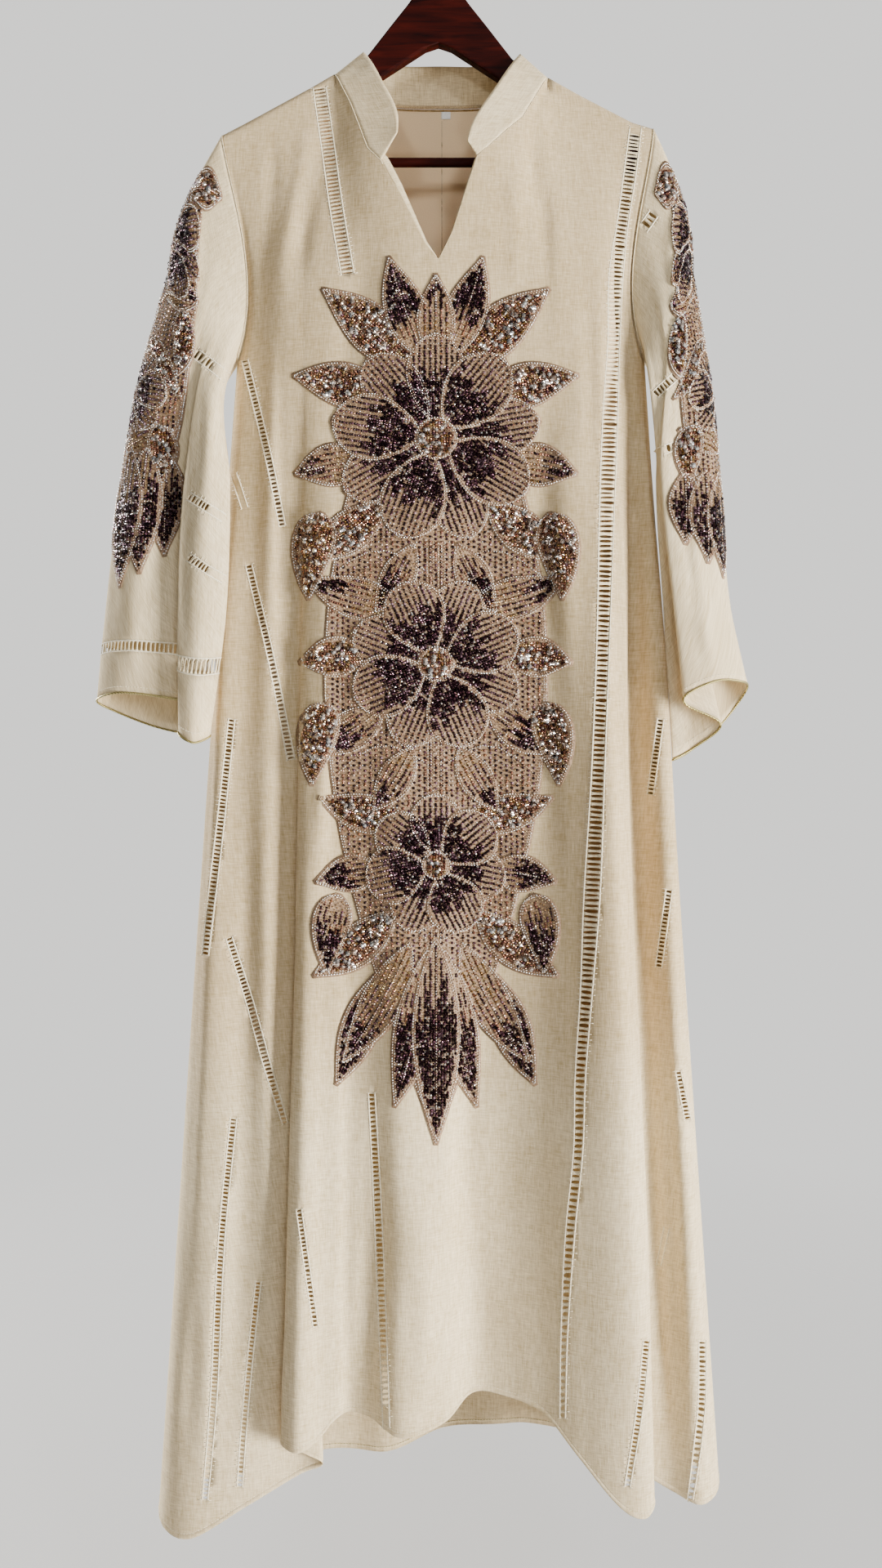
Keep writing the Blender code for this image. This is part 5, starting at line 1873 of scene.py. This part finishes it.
def floor_look():
    """Plain pale floor that ends softly."""
    made = new_material("pale floor", Roughness=0.9, Specular_IOR_Level=0.1, Base_Color=colour_of("D9D8D7"))
    turned = add_node(made, "ShaderNodeMapping", Vector=object_place(made),
                      Scale=(1 / FLOOR_RADIUS, 1 / FLOOR_RADIUS, 1))
    fade = add_node(made, "ShaderNodeTexGradient", gradient_type="SPHERICAL", Vector=turned.outputs["Vector"])
    shade(made, Alpha=fade.outputs["Fac"])
    return made


# Sewing

def stitches(heap, line, outs):
    """A row of stitches along a line."""
    for k in range(int(line_length(line) / STITCH_PITCH)):
        start, out = along_line(line, outs, (k + STITCH_START) * STITCH_PITCH)
        end, _ = along_line(line, outs, (k + STITCH_START) * STITCH_PITCH + STITCH_LONG)
        if (end - start).length > STITCH_LONG * 0.5:
            lift = out * STITCH_RADIUS * STITCH_LIFT
            heap.tube([start + lift, end + lift], STITCH_RADIUS, out, THREAD_SQUASH)


def line_length(line):
    return sum((b - a).length for a, b in zip(line, line[1:]))


def along_line(line, outs, far):
    """The point of a line at a distance from its start, and its direction out."""
    for k in range(len(line) - 1):
        run = (line[k + 1] - line[k]).length
        if far <= run and run > 0:
            return line[k].lerp(line[k + 1], far / run), outs[k]
        far -= run
    return line[-1], outs[-1]


def row_line(points, outs, row):
    """One row of a cloth grid as a line, with its directions out."""
    return vectors(points[:, row]), vectors(outs[:, row])


# The garment

def hem_relief(points, flip):
    """A narrow rolled hem: the last rows stand out, with a groove at the stitches."""
    outs = outward(points, False, flip)
    for k, rise in enumerate(HEM_ROLL):
        row = points.shape[1] - len(HEM_ROLL) + k
        points[:, row] += outs[:, row] * rise * MM
    return points


def panel_shell(table, creases, seed, flip):
    """A panel as it hangs, with its creases, and its direction out."""
    points = as_array(panel_grid(table))
    drop = points[:, :1, 2] - points[..., 2]
    free = np.clip((drop - FREE_FROM) / FREE_OVER, 0, 1)
    soften_neck(points, np.clip((drop - NECK_SOFT_FROM) / NECK_SOFT_OVER, 0, 1))
    outs = outward(points, False, flip)
    move = crease_height(points, creases) + ripple(points, seed, RIPPLE_SIZE, RIPPLE_HEIGHT)
    move += ripple(points, seed + FINE_RIPPLE_SEED, RIPPLE_SIZE / FINE_RIPPLE, RIPPLE_HEIGHT / FINE_RIPPLE)
    columns = np.arange(points.shape[0])
    move *= free * np.clip(np.minimum(columns, columns[::-1])[:, None] / STILL_COLUMNS, 0, 1)
    points += outs * move[..., None]
    return points


def soften_neck(points, free):
    """Evens out the fold that runs down from each end of the collar."""
    for end in (NECK_POINT_LEFT, NECK_POINT_RIGHT):
        near = free * np.exp(-((points[..., 0] - end * MM) / NECK_SOFT) ** 2)
        for _ in range(NECK_SOFT_ROUNDS):
            y = points[..., 1]
            even = (np.roll(y, 1, 0) + np.roll(y, -1, 0)) / 2
            points[..., 1] = y + (even - y) * near * NECK_SOFT_SHARE


def sleeve_shell(table, side, creases, seed):
    """A sleeve as it hangs, with its creases; its cap and its cuff stay as they are."""
    points = as_array(sleeve_grid(table, side))
    outs = outward(points, True, side)
    front = outs[..., 1] < 0
    creased = crease_height(points, creases)
    move = np.where(front, creased, -SLEEVE_BACK_SHARE * creased)
    move += ripple(points, seed, RIPPLE_SIZE, RIPPLE_HEIGHT)
    rows = np.arange(points.shape[1])
    ends = np.clip(rows / STILL_CAP_ROWS, 0, 1) * np.clip(rows[::-1] / STILL_CUFF_ROWS, CUFF_SHARE, 1)
    points += outs * (move * ends[None, :] * abs(outs[..., 1]))[..., None]
    return points


def opened_band(made, rows, first, last):
    """Takes the faces between two rows out of a sleeve."""
    bm = bmesh.new()
    bm.from_mesh(made.data)
    bm.faces.ensure_lookup_table()
    gone = [face for face in bm.faces
            if all(first <= vert.index % rows <= last for vert in face.verts)]
    bmesh.ops.delete(bm, geom=gone, context="FACES")
    bm.to_mesh(made.data)
    bm.free()


def edging(points, outs):
    """The metallic cord just below a sleeve's rim."""
    cord = Heap()
    down = points[:, -1] - points[:, -2]
    down /= np.linalg.norm(down, axis=1, keepdims=True)
    cord.tube(vectors(points[:, -1] + down * PIPING_RADIUS), PIPING_RADIUS, vectors(outs[:, -1]), 1.0,
              PIPING_SIDES, True)
    return cord


def dress_band(name, shell, ring, ring_outs, ends, looks):
    """Opens a band round a sleeve, with bundles between its two rows and a cord along both."""
    places = sleeve_places()
    rows = len(places)
    first, last = [min(range(rows), key=lambda k: abs(places[k] - at)) for at in ends]
    opened_band(shell, rows, first, last)
    upper, outs = row_line(ring, ring_outs, first)
    lower, _ = row_line(ring, ring_outs, last)
    rungs, cords = Heap(), Heap()
    total = line_length(upper)
    chance = random.Random(BAND_SEED)
    pitch = SLEEVE_BAND_PITCH * MM
    shrink = line_length(lower) / total
    for k in range(int(total / pitch)):
        a, out = along_line(upper, outs, k * pitch)
        b, _ = along_line(lower, outs, k * pitch * shrink)
        wide = pitch * chance.uniform(*BAND_RUNG_WIDTHS)
        bundle(rungs, a - out * RUNG_SINK, b - out * RUNG_SINK, out, wide, wide * BAND_RUNG_WAIST)
    for line in (upper, lower):
        cords.tube([p + o * CORD_LIFT for p, o in zip(line, outs)], CORD_RADIUS, outs, CORD_SQUASH)
    keep(rungs.make(name + "_rungs", looks[0]), "linen")
    keep(cords.make(name + "_edges", looks[1]), "linen")
    return [name + "_rungs", name + "_edges"]


def panel_seams(front, back):
    """Raised seams along both shoulders, round the armholes and down both sides."""
    seams = Heap()
    chest = len(TOP_DROPS) + CHEST_CELLS
    for end, side in ((0, -1), (-1, 1)):
        for panel, way in ((front, -1), (back, 1)):
            line = vectors(panel[end][:chest])
            seams.tube(line, SEAM_RADIUS, Vector((side, way, 0)).normalized(), SEAM_SQUASH)
        line = vectors((front[end][chest - 1:] + back[end][chest - 1:]) / 2)
        seams.tube(line, SEAM_RADIUS, Vector((side, 0, 0)), SEAM_SQUASH)
        top = front[:, 0]
        shoulder = top[:, 0] < NECK_POINT_LEFT * MM if side < 0 else top[:, 0] > NECK_POINT_RIGHT * MM
        seams.tube(vectors(top[shoulder]), SEAM_RADIUS, Vector((0, 0, 1)), SHOULDER_SEAM_SQUASH)
    return seams


def neck_seams(lining_tree):
    """The front neckline's fold, and the cord inside the back neck with the lining's centre seam."""
    fold, cord = Heap(), Heap()
    line = [neckline(x, -1) for x in np.linspace(NECK_POINT_LEFT * MM, FOLD_END_X, SEAM_STEPS)]
    fold.tube(line, FOLD_RADIUS, FORWARD, CORD_SQUASH, ROUND_SIDES)
    line = [neckline(x, -1) for x in np.linspace(SEAM_START_X, NECK_POINT_RIGHT * MM, SEAM_STEPS)]
    stitches(fold, line, [FORWARD] * len(line))
    line = [neckline(x, 1) - Vector((0, NECK_CORD_INSET, 0)) for x in np.linspace(*NECK_CORD_X, SEAM_STEPS)]
    cord.tube(line, NECK_CORD_RADIUS, FORWARD, NECK_CORD_SQUASH, ROUND_SIDES)
    found = [on_cloth(lining_tree, -1, CENTRE_SEAM_X, z) for z in np.linspace(*CENTRE_SEAM_Z, SEAM_STEPS)]
    found = [(p, out) for p, out in found if p is not None]
    cord.tube([p for p, _ in found], CENTRE_SEAM_RADIUS, [out for _, out in found], THREAD_SQUASH)
    return fold, cord


def facing_grid():
    """The turned-in edge of the neck opening, widest below the left corner of the collar."""
    grid = []
    for x in np.linspace(FACING_WIDTHS[0][0], FACING_WIDTHS[-1][0], SEAM_STEPS) * MM:
        run = neckline(x + MM, -1) - neckline(x - MM, -1)
        inward = Vector((-run.z, 0, run.x)).normalized() * line_value(FACING_WIDTHS, x / MM) * MM
        start = neckline(x, -1) + Vector((0, FOLD_RADIUS, 0))
        shares = [k / FACING_CELLS for k in range(FACING_CELLS + 1)]
        grid.append([start + inward * share + Vector((0, FACING_DEPTH * share * share, 0))
                     for share in shares])
    return grid


def declare(points, closed):
    """Works out a cloth piece's longest row and its longest column."""
    ring = np.concatenate([points, points[:1]]) if closed else points
    width = run_lengths(ring)[-1].max()
    length = run_lengths(ring, 1)[:, -1].max()


def main():
    linen = linen_look("slub linen", "C6B084", "F6E6C2", False)
    lined = linen_look("slub linen over lining", "C6B084", "F6E6C2", True)
    thread = thread_look("pale linen thread", "DCCDAC", "F6ECD2", THREAD_GRAIN)
    drawn = thread_look("drawn linen threads", "BDAA82", "E6D8B6", THREAD_GRAIN)
    lining = lining_look()
    lining_thread = thread_look("beige lining seam", "A08660", "C4A87C", THREAD_GRAIN)
    gold = cord_look()
    wood = wood_look()
    steel = steel_look()
    tape = thread_look("white label tape", "E4E1DC", "F6F4F1", TAPE_GRAIN)
    gold_thread = thread_look("gold-green thread", "77703E", "C6BC84", THREAD_GRAIN)
    looks = {"foil": foil_look("sequin foil", 0.85, 0.2), "bead": foil_look("silvered glass bead", 0.6, 0.16),
             "ring": foil_look("dark cupped sequin", 0.6, 0.3), "net": net_look()}
    cloths = []

    # Front and back
    front = hem_relief(panel_shell(FRONT_FOLDS, FRONT_CREASES, FRONT_SEED, -1), -1)
    back = hem_relief(panel_shell(BACK_FOLDS, BACK_CREASES, BACK_SEED, 1), 1)
    trees = {}
    extras = {"front": [], "back": [], "right_sleeve": [], "left_sleeve": []}
    for name, points, table, side, routes, pitches in (
            ("front", front, FRONT_FOLDS, -1, FRONT_LADDERS, FRONT_LADDER_PITCHES),
            ("back", back, BACK_FOLDS, 1, BACK_LADDERS, BACK_LADDER_PITCHES)):
        tree = tree_of(points, False, side)
        trees[name] = tree
        flat = panel_flat(table, points)
        shell = keep(add_cloth(name + "_shell", points, False, side, lined, None, flat), "linen", name)
        cut_ladders(shell, tree, side, routes)
        extras[name] += dress_ladders(name + "_ladder", tree, side, routes, (drawn, thread), pitches)
        give_wall(shell, LINEN_THICK)
        cloths.append((shell, points, False, ["hanger_arms"], extras[name]))

    # Linings
    for name, points, table, flip in (("front", front, FRONT_FOLDS, -1), ("back", back, BACK_FOLDS, 1)):
        grid = lining_grid([vectors(row) for row in points], table, name == "back")
        inner = as_array(grid)
        inner += outward(inner, False, flip) * crease_height(inner, LINING_CREASES)[..., None]
        made = add_cloth("lining_" + name + "_shell", inner, False, flip, lining, LINING_THICK)
        keep(made, "lining", "lining_" + name)
        sewn_on = ["label_shell", "neck_cord"] if name == "back" else []
        cloths.append((made, inner, False, [name + "_shell"], sewn_on))
    label = add_cloth("label_shell", as_array(label_grid(grid)), False, 1, tape, TAPE_THICK)
    keep(label, "label", "neck_label")
    fold, cord = neck_seams(tree_of(inner, False, 1))
    keep(fold.make("neck_fold", drawn), "linen")
    keep(cord.make("neck_cord", lining_thread), "lining")
    keep(add_cloth("neck_facing", as_array(facing_grid()), False, 1, linen, LINEN_THICK / 2), "linen")
    keep(panel_seams(front, back).make("panel_seams", drawn), "linen")

    # Hems
    hem, gold_hem = Heap(), Heap()
    for points, flip in ((front, -1), (back, 1)):
        line, outs = row_line(points, outward(points, False, flip), HEM_STITCH_ROW)
        stitches(hem, line, outs)
    inside = [-out for out in outs]
    line = [p + out * LINEN_THICK for p, out in zip(line, inside)]
    stitches(gold_hem, line, inside)
    keep(hem.make("hem_stitches", thread), "linen")
    keep(gold_hem.make("back_hem_stitches", gold_thread), "gold_cord")
    extras["front"] += ["neck_fold", "neck_facing", "panel_seams", "hem_stitches"]
    extras["back"] += ["back_hem_stitches"]

    # Sleeves; each in the order shell, band, ladders, stitches, cord, beadwork
    for name, table, side, creases, routes in (
            ("right_sleeve", RIGHT_SLEEVE_FOLDS, -1, RIGHT_SLEEVE_CREASES, RIGHT_SLEEVE_LADDERS),
            ("left_sleeve", LEFT_SLEEVE_FOLDS, 1, LEFT_SLEEVE_CREASES, LEFT_SLEEVE_LADDERS)):
        points = sleeve_shell(table, side, creases, SLEEVE_SEED + side)
        outs = outward(points, True, side)
        shell = keep(add_cloth(name + "_shell", points, True, side, linen, None), "linen", name)
        ring = np.concatenate([points, points[:1]])
        ring_outs = np.concatenate([outs, outs[:1]])
        if name in SLEEVE_BANDS:
            extras[name] += dress_band(name + "_band", shell, ring, ring_outs, SLEEVE_BANDS[name],
                                       (drawn, thread))
        tree = tree_of(points, True, side)
        cut_ladders(shell, tree, -1, routes)
        extras[name] += dress_ladders(name + "_ladder", tree, -1, routes, (drawn, thread), {})
        give_wall(shell, LINEN_THICK)
        hem = Heap()
        line, line_outs = row_line(ring, ring_outs, CUFF_STITCH_ROW)
        stitches(hem, line, line_outs)
        keep(hem.make(name + "_stitches", thread), "linen")
        cuff = name.replace("sleeve", "cuff")
        keep(edging(points, outs).make(cuff + "_cord", gold), "gold_cord", cuff + "_piping")
        extras[name] += [name + "_stitches", cuff + "_cord"]
        design = sleeve_design(*SLEEVE_SIZES[name])
        extras[name] += sew_on(name, *design, sleeve_surface(points, side), SLEEVE_BEADS_SEED + side, looks)
        cloths.append((shell, points, True, ["front_shell", "back_shell"], extras[name]))

    # Collar
    collar = as_array(collar_grid())
    made = keep(add_cloth("collar_shell", collar, False, 1, linen, COLLAR_THICK), "linen", "collar")
    cloths.append((made, collar, False, ["front_shell", "back_shell"], []))

    # Beadwork on the front
    def on_front(x, z):
        return on_cloth(trees["front"], -1, x * MM, z * MM)

    extras["front"] += sew_on("front", *front_design(), on_front, FRONT_BEADS_SEED, looks)

    # Hanger
    for node, look, slot in (("hanger_arms", wood, "wood"), ("hanger_bar", wood, "wood"),
                             ("hanger_hook", steel, "steel")):
        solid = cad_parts[node]
        solid.data.materials.clear()
        solid.data.materials.append(look)

    # The cut of every cloth
    for made, points, closed, rests_on, names in cloths:
        declare(points, closed)


def add_light(name, place, aim, size, power, colour):
    lamp = bpy.data.lights.new(name, "AREA")
    lamp.shape = "RECTANGLE"
    lamp.size, lamp.size_y = size
    lamp.energy = power
    lamp.color = colour
    made = bpy.data.objects.new(name, lamp)
    made.location = place
    made.rotation_euler = (Vector(aim) - Vector(place)).to_track_quat("-Z", "Y").to_euler()
    made.visible_camera = False
    bpy.context.scene.collection.objects.link(made)


def pale_room():
    """Soft light from all round: even behind the garment, and in front of it stronger from the right."""
    room = bpy.data.worlds.new("pale room")
    room.use_nodes = True
    way = add_node(room, "ShaderNodeTexCoord").outputs["Generated"]
    parts = add_node(room, "ShaderNodeSeparateXYZ", Vector=way)
    aside = add_node(room, "ShaderNodeMapRange", interpolation_type="SMOOTHSTEP", Value=parts.outputs["X"],
                     From_Min=-0.8, From_Max=0.8, To_Min=ROOM_LEFT * WORLD_STRENGTH,
                     To_Max=ROOM_RIGHT * WORLD_STRENGTH)
    behind = add_node(room, "ShaderNodeMapRange", interpolation_type="SMOOTHSTEP", Value=parts.outputs["Y"],
                      From_Min=-0.2, From_Max=0.5)
    both = add_node(room, "ShaderNodeMix", (0, behind.outputs["Result"]), (2, aside.outputs["Result"]),
                    (3, WORLD_STRENGTH))
    set_node(room.node_tree, room.node_tree.nodes["Background"], (),
             {"Color": colour_of(WORLD_COLOUR), "Strength": both.outputs[0]})
    return room


def add_stage():
    bpy.ops.object.select_all(action="DESELECT")
    bpy.ops.mesh.primitive_circle_add(vertices=FLOOR_SIDES, radius=FLOOR_RADIUS, fill_type="NGON",
                                      location=(0, 0, FLOOR_Z))
    floor = bpy.context.object
    floor.name = "floor"
    floor.data.materials.append(floor_look())
    bpy.context.scene.world = pale_room()
    for row in LIGHTS:
        add_light(*row)
    camera = bpy.data.cameras.new("camera")
    camera.sensor_width = SENSOR
    camera.lens = SENSOR / 2 / (PHOTO_HEIGHT / 2 / CAMERA_DISTANCE)
    camera.dof.use_dof = False
    made = bpy.data.objects.new("camera", camera)
    made.location = (CAMERA_X, -CAMERA_DISTANCE, CAMERA_Z)
    made.rotation_euler = (math.pi / 2, 0, 0)
    bpy.context.scene.collection.objects.link(made)
    bpy.context.scene.camera = made


main()
add_stage()
